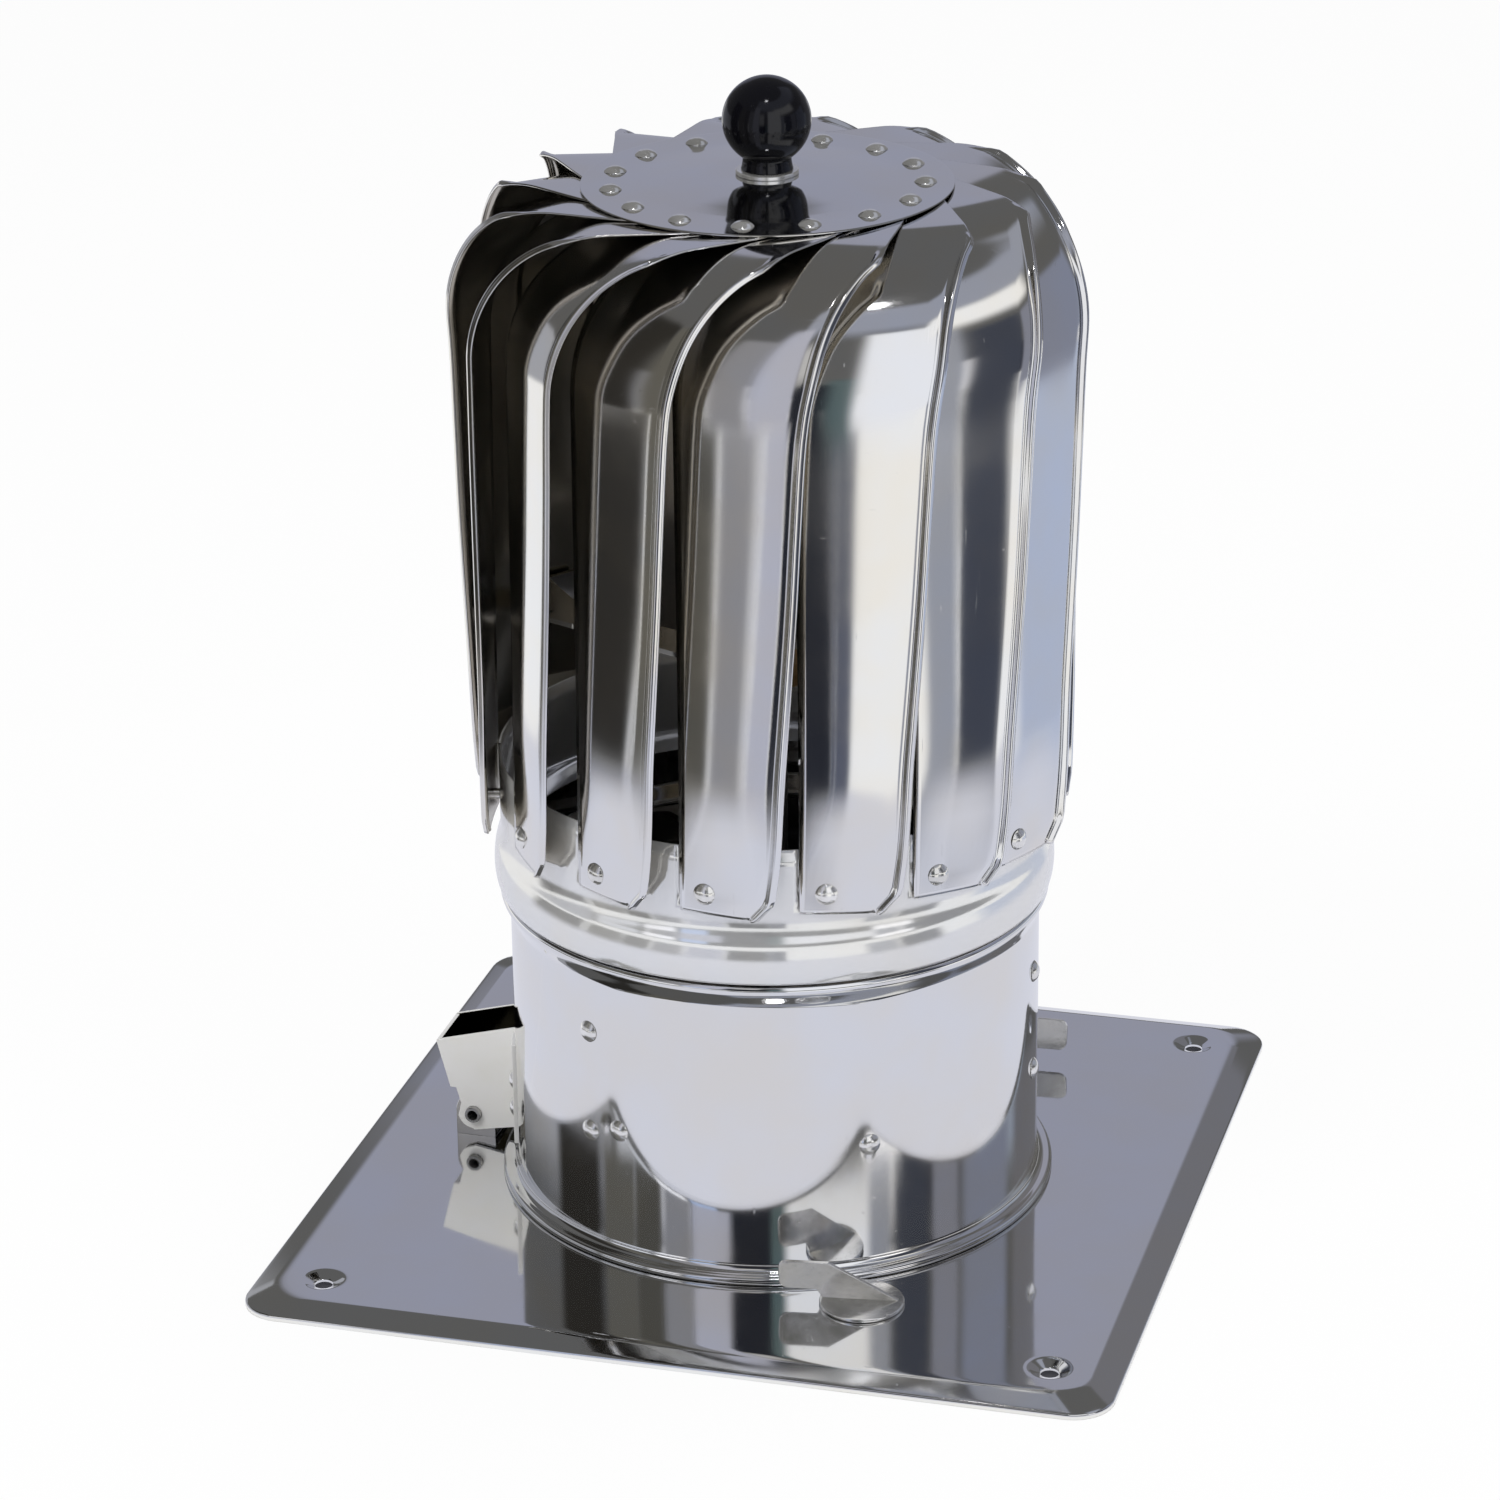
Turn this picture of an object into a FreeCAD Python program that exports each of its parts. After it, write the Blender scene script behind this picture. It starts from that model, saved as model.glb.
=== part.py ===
# Wind-turned chimney cowl: a bladed turbine head that spins on a fixed axle, carried by a
# round collar that hinges up from a square base plate and is held down by two turn latches.
# Origin: centre of the plate's underside. Z is up, the hinge is at -X, the front is -Y.
import FreeCAD
import Part
import math
import os

V = FreeCAD.Vector
UP = V(0, 0, 1)
ORIGIN = V(0, 0, 0)

# Base plate, drawn from one sheet with a sloped border and a short upright lip
plate_side = 250.0
plate_corner = 12.0
plate_sheet = 0.8
plate_top = 4.0
lip_height = 1.6
border_width = 7.5
screw_inset = 20.0
screw_hole_r = 2.6
dimple_r = 6.0
dimple_depth = 1.5
neck_clear = 6.5
neck_top = 12.0

# Collar tube that stands on the plate
collar_r = 76.5
collar_sheet = 0.6
collar_lift = 0.3
rim_out = 4.5
rim_height = 2.0
rim_blend = 2.5
rim_roll = 1.2
bead_bottom = 88.0
bead_top = 96.2
bead_out = 2.7
bead_round = 1.2
spigot_in = 1.1
collar_top = 106.0

# Hinge at -X: hat bracket on the collar, eared leaf on the plate
pin_out = 14.5
pin_z = 12.0
pin_r = 2.45
pin_bore_r = 1.5
pin_end = 1.5
fit_gap = 0.05
bracket_sheet = 1.2
bracket_width = 20.0
bracket_top_in = 42.0
bracket_top_out = 35.0
bracket_reach = 11.0
bracket_web_low = 20.0
bracket_knuckle_r = 5.4
bracket_step = 1.7
bracket_eye = 3.9
flange_width = 12.0
flange_low = 10.0
flange_rivet_z = (19.5, 28.5)
leaf_gap = 0.4
leaf_knuckle_r = 6.0
leaf_rivet_pitch = 7.6

# Turn latches on the plate, one each side of the free edge
latch_out = 17.5
latch_angle = 60.5
latch_disc_r = 12.0
latch_sheet = 1.2
latch_gap = 0.1
latch_pivot_r = 3.0
latch_heel = 10.3
latch_reach = 23.3
latch_height = 13.5
latch_crest = 9.2
latch_lean = 12.0
finger_length = 10.6
finger_height = 9.5
finger_round = 2.5
latch_turn = (8.0, 182.0)
retainer_r = 5.5
retainer_sheet = 0.8
retainer_stub = 0.6

# Axle carrier inside the collar
arm_count = 3
arm_first = 1.5
arm_width = 12.0
arm_sheet = 2.0
arm_z = 80.0
arm_tab = 46.0
arm_rivet_z = (41.0, 72.0)
arm_hub_r = 18.0
lug_angles = (-110.5, -55.0, 55.0, 110.5)
lug_width = 8.0
lug_sheet = 1.0
lug_top = 50.0
lug_bottom = 8.0
lug_rivet_z = 44.0
lug_inset = 2.6
axle_r = 4.0
axle_foot = 60.0
nut_flats = 13.0
nut_height = 6.5
washer_r = 8.75
washer_sheet = 1.2

# Rivets
rivet_r = 1.6
rivet_head_r = 3.1
rivet_head = 1.6
rivet_tail = 0.8

# Lower ring of the turbine
ring_out = 2.2
ring_sheet = 0.6
ring_gap = 0.8
ring_top = 137.0
shoulder_out = 2.0
shoulder_z = 104.0
shoulder_top = 113.0
skirt_out = 1.0
slit_width = 1.0
slit_depth = 17.0
slit_angle = 3.4

# Turbine blades
blade_count = 15
blade_first = -97.0
blade_sheet = 0.5
blade_face_in = 1.1
blade_foot_stand = 0.7
blade_bottom = 118.5
blade_bend_r = 39.0
blade_tilt = 3.5
blade_foot_in = 4.3
blade_foot_z = 150.0
blade_foot_out = 31.2
blade_foot_cut = 5.0
blade_mid_z = 207.0
blade_mid_in = 8.5
blade_mid_out = 37.8
blade_shoulder_z = 258.0
blade_shoulder_in = 13.0
blade_shoulder_out = 41.0
blade_crown_in = 16.0
blade_crown_out = 46.8
blade_corner_over = 11.9
blade_corner_out = 52.6
tip_face = 12.0
tip_width = 14.5
tip_out = 47.5
hem_r = 1.3
blade_rivet_out = 11.7
blade_rivet_z = 124.0

# Top disc, hub and knob
disc_over = 12.8
disc_top = 303.0
disc_sheet = 0.6
disc_clear = 0.1
disc_rise = 2.4
disc_flat_r = 17.0
disc_seat = 5.4
disc_rivet_in = 8.0
disc_rivet_lead = 61.3
hub_r = 15.0
hub_flange = 3.0
hub_length = 36.0
hub_boss = 10.0
bush_r = 9.0
bush_length = 16.0
bush_inset = 4.0
pad_height = 3.0
knob_r = 12.3
knob_foot_r = 7.2
knob_neck_r = 6.7
knob_foot = 3.4
stud_r = 3.9
stud_grip = 8.0
stud_thread = 9.0

# Turbine's lower spider, a second bearing on the axle
spoke_z = 158.0
spoke_sheet = 1.5
spoke_width = 14.0
spoke_side = 20.0
spoke_tab = 12.0
spoke_hub_r = 16.0
spoke_bush_r = 7.0
spoke_bush_length = 8.0
clip_r = 6.5
clip_sheet = 1.5
clip_gap = 0.5

# Sizes that follow from the ones above
plate_under = plate_top - plate_sheet
screw_pitch = plate_side - 2 * screw_inset
neck_r = collar_r - neck_clear
rim_r = collar_r + rim_out
spigot_r = collar_r - spigot_in
pin_x = -(collar_r + pin_out)
latch_r = collar_r + latch_out
ring_r = collar_r + ring_out
shoulder_r = ring_r + shoulder_out
skirt_r = ring_r + skirt_out
blade_face = ring_r - blade_face_in
blade_foot_face = ring_r + blade_foot_stand
collar_foot = plate_top + collar_lift
collar_in = collar_r - collar_sheet
pitch = 360.0 / blade_count
tilt_sin = math.sin(math.radians(blade_tilt))
tilt_cos = math.cos(math.radians(blade_tilt))
disc_under = disc_top - disc_sheet
hub_top = disc_under + disc_rise
hub_flange_r = disc_flat_r
knob_seat = disc_top + disc_rise + washer_sheet
crown_z = disc_under - disc_clear - tip_out * tilt_sin / tilt_cos
bend_x = blade_face - blade_bend_r
bend_z = crown_z - blade_bend_r
disc_r = bend_x + disc_over
disc_rivet_r = disc_r - disc_rivet_in
disc_slope_r = disc_rivet_r - disc_seat
blade_corner_face = bend_x + blade_corner_over
beyond = 2 * collar_r
pad_z = hub_top - hub_boss - pad_height
axle_end = pad_z - fit_gap


def polygon(points):
    return Part.makePolygon(points + [points[0]])


def face_of(points):
    return Part.Face(polygon(points))


def profile(points):
    """Face in the XZ plane from (radius, height) pairs."""
    return face_of([V(x, 0, z) for x, z in points])


def revolved(points):
    return profile(points).revolve(ORIGIN, UP, 360)


def tube(outer, inner, low, high):
    return revolved([(inner, low), (outer, low), (outer, high), (inner, high)])


def drum(radius, low, high):
    return Part.makeCylinder(radius, high - low, V(0, 0, low))


def box(x0, x1, y0, y1, z0, z1):
    return Part.makeBox(x1 - x0, y1 - y0, z1 - z0, V(x0, y0, z0))


def turned(shape, angle):
    out = shape.copy()
    out.rotate(ORIGIN, UP, angle)
    return out


def moved(shape, x=0.0, y=0.0, z=0.0):
    out = shape.copy()
    out.translate(V(x, y, z))
    return out


def sheet_of_revolution(path, sheet):
    """Revolves an open outline of lines and arcs, thickened inwards by one sheet."""
    band = Part.Wire(path).makeOffset2D(sheet, fill=True, openResult=True, join=2)
    return Part.Solid(band.revolve(ORIGIN, UP, 360))


def line(a, b):
    return Part.makeLine(V(a[0], 0, a[1]), V(b[0], 0, b[1]))


def arc(a, mid, b):
    return Part.Arc(V(a[0], 0, a[1]), V(mid[0], 0, mid[1]), V(b[0], 0, b[1])).toShape()


def rivet(grip, shank=rivet_r, head_r=rivet_head_r, head=rivet_head, tail=rivet_tail):
    """Rivet along Z: low bevelled head on z = 0, shank down through the grip and set below it."""
    return revolved([
        (0, head),
        (0.5 * head_r, head),
        (head_r, 0),
        (shank, 0),
        (shank, -grip - tail),
        (0, -grip - tail),
    ])


def radial(shape, radius, angle, z):
    """Lays a shape built along +Z so that it points outwards at an azimuth."""
    out = shape.copy()
    out.rotate(ORIGIN, V(0, 1, 0), 90)
    out.translate(V(radius, 0, z))
    out.rotate(ORIGIN, UP, angle)
    return out


def radial_hole(inner, outer, hole_r, angle, z):
    pin = Part.makeCylinder(hole_r, outer - inner, V(inner, 0, z), V(1, 0, 0))
    return turned(pin, angle)


def ring_of(shape, count, step, first=0.0):
    return [turned(shape, first + step * k) for k in range(count)]


def rounded_square(side, corner, z):
    """Wire of a square with rounded corners."""
    half = side / 2
    flat = half - corner
    edges = []
    for k in range(4):
        quarter = [
            Part.makeLine(V(half, -flat, z), V(half, flat, z)),
            Part.makeCircle(corner, V(flat, flat, z), UP, 0, 90),
        ]
        for edge in quarter:
            edge.rotate(ORIGIN, UP, 90 * k)
            edges.append(edge)
    return Part.Wire(Part.sortEdges(edges)[0])


def plate_form(inset, drop):
    """Solid under the plate's skin, drawn in by an inset and lowered by a drop."""
    side = plate_side - 2 * inset
    corner = plate_corner - inset
    low = rounded_square(side, corner, -drop)
    lip = Part.Face(low).extrude(V(0, 0, lip_height))
    knee = rounded_square(side, corner, lip_height - drop)
    top = rounded_square(side - 2 * border_width, corner - inset, plate_top - drop)
    return lip.fuse(Part.makeLoft([knee, top], True, True))


def make_base_plate():
    plate = plate_form(0.0, 0.0).cut(plate_form(plate_sheet, plate_sheet))
    plate = plate.cut(drum(neck_r, 0, plate_top))
    half = screw_pitch / 2
    low = plate_top - dimple_depth
    cone = revolved([
        (screw_hole_r, low - plate_sheet),
        (dimple_r, plate_under),
        (dimple_r, plate_top),
        (screw_hole_r, low),
    ])
    for x in (-half, half):
        for y in (-half, half):
            plate = plate.cut(moved(drum(dimple_r, 0, plate_top), x, y))
            plate = plate.fuse(moved(cone, x, y))
    neck_in = neck_r - plate_sheet
    bend = 1.5
    neck = revolved([
        (neck_in, plate_under),
        (neck_in, neck_top),
        (neck_r, neck_top),
        (neck_r, plate_top + bend),
        (neck_r + bend, plate_top),
        (neck_r + bend, plate_under),
    ])
    plate = plate.fuse(neck)
    for x, y in leaf_rivet_places():
        plate = plate.cut(moved(drum(rivet_r, 0, plate_top + 1), x, y))
    for side in (-1, 1):
        plate = plate.cut(at_latch(side, drum(latch_pivot_r + fit_gap, 0, plate_top + 1)))
    return plate.removeSplitter()


def make_collar():
    """Tube with a rolled foot rim, a rolled bead under the turbine and a plain spigot above."""
    rim_top = collar_foot + rim_height
    rim_low = rim_top - rim_roll
    nose = rim_r - rim_roll
    k = math.sqrt(0.5)
    crest = (collar_r + bead_out, bead_top - 2 * bead_round)
    shelf = (crest[0] - 2 * bead_round, bead_top)
    collar = sheet_of_revolution([
        line((rim_r, collar_foot), (rim_r, rim_low)),
        arc((rim_r, rim_low), (nose + k * rim_roll, rim_low + k * rim_roll), (nose, rim_top)),
        line((nose, rim_top), (collar_r + rim_blend, rim_top)),
        arc(
            (collar_r + rim_blend, rim_top),
            (collar_r + rim_blend * (1 - k), rim_top + rim_blend * (1 - k)),
            (collar_r, rim_top + rim_blend),
        ),
        line((collar_r, rim_top + rim_blend), (collar_r, bead_bottom)),
        line((collar_r, bead_bottom), crest),
        arc(crest, (crest[0] - 2 * bead_round * (1 - k), crest[1] + 2 * bead_round * k), shelf),
        line(shelf, (spigot_r, bead_top)),
        line((spigot_r, bead_top), (spigot_r, collar_top)),
    ], collar_sheet)
    for angle, z in collar_rivet_places():
        collar = collar.cut(radial_hole(collar_r - 8, collar_r + 8, rivet_r, angle, z))
    return collar


def arm_angles():
    return [arm_first + 360.0 / arm_count * k for k in range(arm_count)]


def flange_angle():
    """Azimuth of the flange rivets, measured from the hinge line."""
    middle = bracket_width / 2 + flange_width / 2
    return math.degrees(math.asin(middle / collar_r))


def collar_rivet_places():
    places = [(angle, z) for angle in arm_angles() for z in arm_rivet_z]
    places += [(angle, lug_rivet_z) for angle in lug_angles]
    for side in (-1, 1):
        places += [(180 + side * flange_angle(), z) for z in flange_rivet_z]
    return places


def make_hinge_bracket():
    """Hat-section bracket: two ears, an outer web between them and two flanges on the collar."""
    half = bracket_width / 2
    web_low = V(pin_x - 0.64 * bracket_reach, 0, bracket_web_low)
    web_top = V(pin_x - bracket_reach, 0, bracket_top_out)
    step = V(web_low.x + bracket_step, 0, bracket_web_low)
    side = V(pin_x - bracket_eye, 0, pin_z + 0.8 * bracket_eye)
    mid = V(pin_x - 0.8 * bracket_knuckle_r, 0, pin_z - 0.6 * bracket_knuckle_r)
    low = V(pin_x, 0, pin_z - bracket_knuckle_r)
    foot = V(4 - collar_r, 0, flange_low)
    head = V(4 - collar_r, 0, bracket_top_in)
    ear = [
        Part.makeLine(head, web_top),
        Part.makeLine(web_top, web_low),
        Part.makeLine(web_low, step),
        Part.makeLine(step, side),
        Part.Arc(side, mid, low).toShape(),
        Part.makeLine(low, foot),
        Part.makeLine(foot, head),
    ]
    outline = Part.Face(Part.Wire(ear))
    block = moved(outline.extrude(V(0, bracket_width, 0)), 0, -half, 0)
    inner = half - bracket_sheet
    hollow = profile([
        (web_top.x + bracket_sheet - 2, bracket_top_out + 7.5),
        (web_low.x + bracket_sheet, bracket_web_low),
        (web_top.x - bracket_reach, bracket_web_low),
        (web_top.x - bracket_reach, 0),
        (0, 0),
        (0, bracket_top_in + 10),
        (web_top.x + bracket_sheet - 2, bracket_top_in + 10),
    ])
    block = block.cut(moved(hollow.extrude(V(0, 2 * inner, 0)), 0, -inner, 0))
    skin = tube(collar_r + bracket_sheet, collar_r, flange_low, bracket_top_in)
    reach = half + flange_width
    strips = skin.common(box(-beyond, 0, -reach, reach, 0, bracket_top_in))
    strips = strips.cut(box(-beyond, 0, -inner, inner, 0, bracket_top_in))
    bracket = block.cut(drum(collar_r, 0, bracket_top_in)).fuse(strips)
    bracket = bracket.cut(pin_bore(pin_r))
    for side in (-1, 1):
        for z in flange_rivet_z:
            hole = radial_hole(collar_r - 1, collar_r + 5, rivet_r, 180 + side * flange_angle(), z)
            bracket = bracket.cut(hole)
    return bracket.removeSplitter()


def pin_bore(radius):
    """Cylinder on the hinge line, as long as the pin."""
    full = bracket_width / 2 + pin_end
    return Part.makeCylinder(radius, 2 * full, V(pin_x, -full, pin_z), V(0, 1, 0))


def leaf_rivet_places():
    return [(pin_x, -leaf_rivet_pitch / 2), (pin_x, leaf_rivet_pitch / 2)]


def make_hinge_leaf():
    """Leaf riveted to the plate under the pin, with ears inside the bracket's ears."""
    outer = bracket_width / 2 - bracket_sheet - leaf_gap
    inner = outer - bracket_sheet
    far = pin_x - leaf_knuckle_r
    near = pin_x + leaf_knuckle_r
    post = box(far, near, -outer, outer, plate_top, pin_z)
    knuckle = Part.makeCylinder(leaf_knuckle_r, 2 * outer, V(pin_x, -outer, pin_z), V(0, 1, 0))
    leaf_floor = plate_top + bracket_sheet
    leaf = post.fuse(knuckle).cut(box(far, near, -inner, inner, leaf_floor, pin_z + leaf_knuckle_r))
    leaf = leaf.cut(pin_bore(pin_r + fit_gap))
    for x, y in leaf_rivet_places():
        leaf = leaf.cut(moved(drum(rivet_r, plate_top, leaf_floor), x, y))
    return leaf.removeSplitter()


def make_hinge_pin():
    """Rolled spring pin: tight in the bracket's ears, free in the leaf's."""
    return pin_bore(pin_r).cut(pin_bore(pin_bore_r))


def at_latch(side, shape):
    angle = math.radians(side * latch_angle)
    return moved(shape, latch_r * math.cos(angle), latch_r * math.sin(angle), 0)


def retainer_top():
    return plate_under - latch_gap


def make_latch(side, turn):
    """Disc on a pivot, with a leaning flag whose finger swings in over the collar's rim."""
    low = plate_top + latch_gap
    top = plate_top + latch_height
    disc = drum(latch_disc_r, low, low + latch_sheet)
    pivot = drum(latch_pivot_r, retainer_top() - retainer_sheet - retainer_stub, low)
    tip = -latch_reach
    root = tip + finger_length
    under = top - finger_height
    r = finger_round
    k = r * (1 - math.sqrt(0.5))
    edges = [
        line((latch_heel, low), (latch_heel, low + latch_sheet)),
        line((latch_heel, low + latch_sheet), (-latch_crest, top)),
        line((-latch_crest, top), (tip + r, top)),
        arc((tip + r, top), (tip + k, top - k), (tip, top - r)),
        line((tip, top - r), (tip, under + r)),
        arc((tip, under + r), (tip + k, under + k), (tip + r, under)),
        line((tip + r, under), (root, under)),
        line((root, under), (root + 2, low)),
        line((root + 2, low), (latch_heel, low)),
    ]
    flag = Part.Face(Part.Wire(edges)).extrude(V(0, latch_sheet, 0))
    flag.rotate(V(0, 0, low + latch_sheet), V(1, 0, 0), latch_lean)
    flag = flag.cut(drum(2 * latch_reach, low - 5, low))
    latch = disc.fuse(pivot).fuse(flag).removeSplitter()
    return at_latch(side, turned(latch, turn))


def make_retainer(side):
    high = retainer_top()
    return at_latch(side, tube(retainer_r, latch_pivot_r, high - retainer_sheet, high))


def make_axle_carrier():
    """Three arms from the axle's seat to tabs that lie on the collar's inner wall."""
    low = arm_z - arm_tab
    wall = tube(collar_in, collar_in - arm_sheet, low, arm_z + arm_sheet)
    tab = wall.common(box(0, beyond, -arm_width / 2, arm_width / 2, 0, arm_z + arm_sheet))
    arm = box(0, collar_in - arm_sheet, -arm_width / 2, arm_width / 2, arm_z, arm_z + arm_sheet)
    arm = arm.common(drum(collar_in - 0.5 * arm_sheet, arm_z, arm_z + arm_sheet)).fuse(tab)
    carrier = drum(arm_hub_r, arm_z, arm_z + arm_sheet)
    for angle in arm_angles():
        carrier = carrier.fuse(turned(arm, angle))
        for z in arm_rivet_z:
            carrier = carrier.cut(radial_hole(0, beyond, rivet_r, angle, z))
    return carrier.cut(drum(axle_r, low, arm_z + arm_sheet)).removeSplitter()


def make_guide_lugs():
    """Tongues that centre the collar round the plate's neck as it comes down."""
    top = collar_in
    low = collar_in - lug_inset
    bend = lug_bottom + 22
    strip = revolved([
        (top, lug_top),
        (top, bend),
        (low, lug_bottom + 10),
        (low, lug_bottom),
        (low - lug_sheet, lug_bottom),
        (low - lug_sheet, lug_bottom + 10),
        (top - lug_sheet, bend),
        (top - lug_sheet, lug_top),
    ])
    lug = strip.common(box(0, beyond, -lug_width / 2, lug_width / 2, lug_bottom, lug_top))
    lug = lug.cut(radial_hole(0, beyond, rivet_r, 0, lug_rivet_z))
    return [turned(lug, angle) for angle in lug_angles]


def make_nut(z, height, bore_r):
    """Hexagon nut, its flats square to Y."""
    points = []
    for k in range(6):
        angle = math.radians(60 * k + 30)
        across = nut_flats / math.sqrt(3)
        points.append(V(across * math.cos(angle), across * math.sin(angle), z))
    return face_of(points).extrude(V(0, 0, height)).cut(drum(bore_r, z, z + height))


def make_axle():
    taper = 1.0
    return revolved([
        (0, axle_foot),
        (axle_r - taper, axle_foot),
        (axle_r, axle_foot + taper),
        (axle_r, axle_end - 2 * taper),
        (axle_r - 1.4 * taper, axle_end),
        (0, axle_end),
    ])


def make_ring():
    """Turbine's lower ring: rolled shoulder above a skirt, upper wall slit beside each blade."""
    low = bead_top + ring_gap
    swell = 0.5 * (shoulder_r + ring_r) + 0.45
    ring = sheet_of_revolution([
        arc((skirt_r, low), (shoulder_r - 0.25, 0.5 * (low + shoulder_z)), (shoulder_r, shoulder_z)),
        arc((shoulder_r, shoulder_z), (swell, 0.5 * (shoulder_z + shoulder_top)), (ring_r, shoulder_top)),
        line((ring_r, shoulder_top), (ring_r, ring_top)),
    ], ring_sheet)
    half = 0.5 * slit_width
    slit = box(spigot_r, beyond, -half, half, ring_top - slit_depth, ring_top)
    for cutter in ring_of(slit, blade_count, pitch, blade_first + slit_angle):
        ring = ring.cut(cutter)
    for angle in blade_angles():
        ring = ring.cut(foot_rivet_tool(angle, drum(rivet_r, -2 * ring_out, 2 * ring_out)))
    return ring


def blade_angles():
    return [blade_first + pitch * k for k in range(blade_count)]


def blade_profile():
    """Section of one blade: upright face, round bend and flat crown."""
    t = blade_sheet
    r = blade_bend_r
    low = blade_bottom - blade_foot_out
    lean = (blade_foot_face - blade_face) / (bend_z - blade_bottom)
    foot_x = blade_face + lean * (bend_z - low)
    k = math.sqrt(0.5)
    edges = [
        line((foot_x, low), (blade_face, bend_z)),
        arc((blade_face, bend_z), (bend_x + r * k, bend_z + r * k), (bend_x, crown_z)),
        line((bend_x, crown_z), (0, crown_z)),
        line((0, crown_z), (0, crown_z - t)),
        line((0, crown_z - t), (bend_x, crown_z - t)),
        arc(
            (bend_x, crown_z - t),
            (bend_x + (r - t) * k, bend_z + (r - t) * k),
            (blade_face - t, bend_z),
        ),
        line((blade_face - t, bend_z), (foot_x - t, low)),
        line((foot_x - t, low), (foot_x, low)),
    ]
    return Part.Face(Part.Wire(edges))


def blade_face_at(y, z):
    """Distance of the blade's outer face from the axis plane, at a side offset and height."""
    flat_z = crown_z - y * tilt_sin + (z - crown_z) * tilt_cos
    if flat_z <= bend_z:
        lean = (blade_foot_face - blade_face) / (bend_z - blade_bottom)
        return blade_face + lean * (bend_z - flat_z)
    rise = min(flat_z - bend_z, blade_bend_r)
    return bend_x + math.sqrt(blade_bend_r ** 2 - rise ** 2)


def blade_height_at(x, y):
    """Height of the blade's outer face on its bend or crown."""
    run = max(x - bend_x, 0.0)
    flat_z = bend_z + math.sqrt(blade_bend_r ** 2 - run ** 2)
    return crown_z + (flat_z - crown_z + y * tilt_sin) / tilt_cos


def crown_reach():
    """Place on the bend where the outer edge passes from the crown outline to the side outline."""
    return bend_x + blade_bend_r * math.sin(math.radians(45))


def outer_edge():
    """Stations of a blade's outer edge below the crown, from top to foot: side offset, height."""
    crown = blade_height_at(crown_reach(), blade_crown_out)
    turn = 0.5 * (blade_shoulder_z + crown)
    return [
        (blade_crown_out, crown),
        (0.45 * blade_crown_out + 0.55 * blade_shoulder_out, turn),
        (blade_shoulder_out, blade_shoulder_z),
        (blade_mid_out, blade_mid_z),
        (blade_foot_out, blade_bottom + blade_foot_cut),
    ]


def side_outline():
    """Blade outline in front view, for the upright face and the lower half of the bend."""
    inner = [
        (blade_foot_out - blade_foot_cut, blade_bottom),
        (blade_foot_in, blade_bottom),
        (blade_foot_in, blade_foot_z),
        (blade_mid_in, blade_mid_z),
        (blade_shoulder_in, blade_shoulder_z),
        (blade_crown_in, crown_z - 3),
        (blade_crown_in, crown_z + 8),
        (blade_crown_out + 12, crown_z + 8),
    ]
    return face_of([V(0, y, z) for y, z in outer_edge() + inner]).extrude(V(beyond, 0, 0))


def crown_outline():
    """Blade outline seen from above: the tip under the disc and the upper half of the bend."""
    tip_in = tip_out - tip_width
    reach = crown_reach()
    points = [
        (reach, blade_crown_out),
        (blade_face + 12, blade_crown_out + 16),
        (blade_face + 12, 0),
        (bend_x + 5, 0),
        (bend_x + 5, blade_crown_in),
        (bend_x + 2.5, tip_in - 9),
        (bend_x - 2.5, tip_in - 1.5),
        (tip_face, tip_in),
        (tip_face - 1, tip_out - 2.5),
        (tip_face + 8, tip_out),
        (blade_corner_face, blade_corner_out),
    ]
    outline = face_of([V(x, y, 0) for x, y in points]).extrude(V(0, 0, disc_top))
    return outline.fuse(box(bend_x, beyond, 0, beyond, 0, bend_z))


def hem_path():
    """Points of the rolled hem, from the blade's corner down its outer edge."""
    corner = blade_corner_face
    points = []
    for share in (0.0, 0.5):
        x = corner + share * (crown_reach() - corner)
        y = blade_corner_out + share * (blade_crown_out - blade_corner_out)
        points.append(V(x, y, blade_height_at(x, y)))
    for y, z in outer_edge():
        points.append(V(blade_face_at(y, z), y, z))
    return points


def make_hem():
    """Bead rolled along the outer edge, as a ruled loft of six-sided sections."""
    path = hem_path()
    sections = []
    for k, spot in enumerate(path):
        ahead = path[min(k + 1, len(path) - 1)]
        behind = path[max(k - 1, 0)]
        along = ahead.sub(behind).normalize()
        across = along.cross(V(0, 1, 0)).normalize()
        side = across.cross(along).normalize()
        corners = []
        for n in range(6):
            angle = math.radians(60 * n)
            out = V(across)
            out.multiply(hem_r * math.cos(angle))
            lift = V(side)
            lift.multiply(hem_r * math.sin(angle))
            corners.append(spot.add(out).add(lift))
        sections.append(polygon(corners))
    return Part.makeLoft(sections, True, True)


def make_blade():
    """One blade standing at azimuth zero, with its face square to X."""
    body = blade_profile().extrude(V(0, beyond, 0))
    body = moved(body, 0, -0.5 * beyond, 0)
    body.rotate(V(0, 0, crown_z), V(1, 0, 0), blade_tilt)
    blade = body.common(side_outline()).common(crown_outline())
    blade = blade.fuse(make_hem())
    blade = blade.cut(foot_rivet_tool(0, drum(rivet_r, -ring_out, ring_out)))
    return blade.cut(disc_rivet_tool(0, drum(rivet_r, bend_z, disc_top)))


def foot_rivet_face():
    """Seat of the foot rivet's head, where its edge meets the leaning face."""
    return blade_face_at(blade_rivet_out + rivet_head_r, blade_rivet_z - rivet_head_r)


def foot_rivet_tool(angle, shape):
    """Lays a shape built along +Z through a blade's foot, its zero on the blade's outer face."""
    out = shape.copy()
    out.rotate(ORIGIN, V(0, 1, 0), 90)
    out.translate(V(foot_rivet_face(), blade_rivet_out, blade_rivet_z))
    return turned(out, angle)


def disc_rivet_tool(angle, shape):
    return turned(moved(shape, disc_rivet_r, 0, 0), angle + disc_rivet_lead)


def foot_rivet_grip():
    inner = ring_r - ring_sheet
    return foot_rivet_face() - math.sqrt(inner ** 2 - (blade_rivet_out + rivet_r) ** 2)


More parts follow.
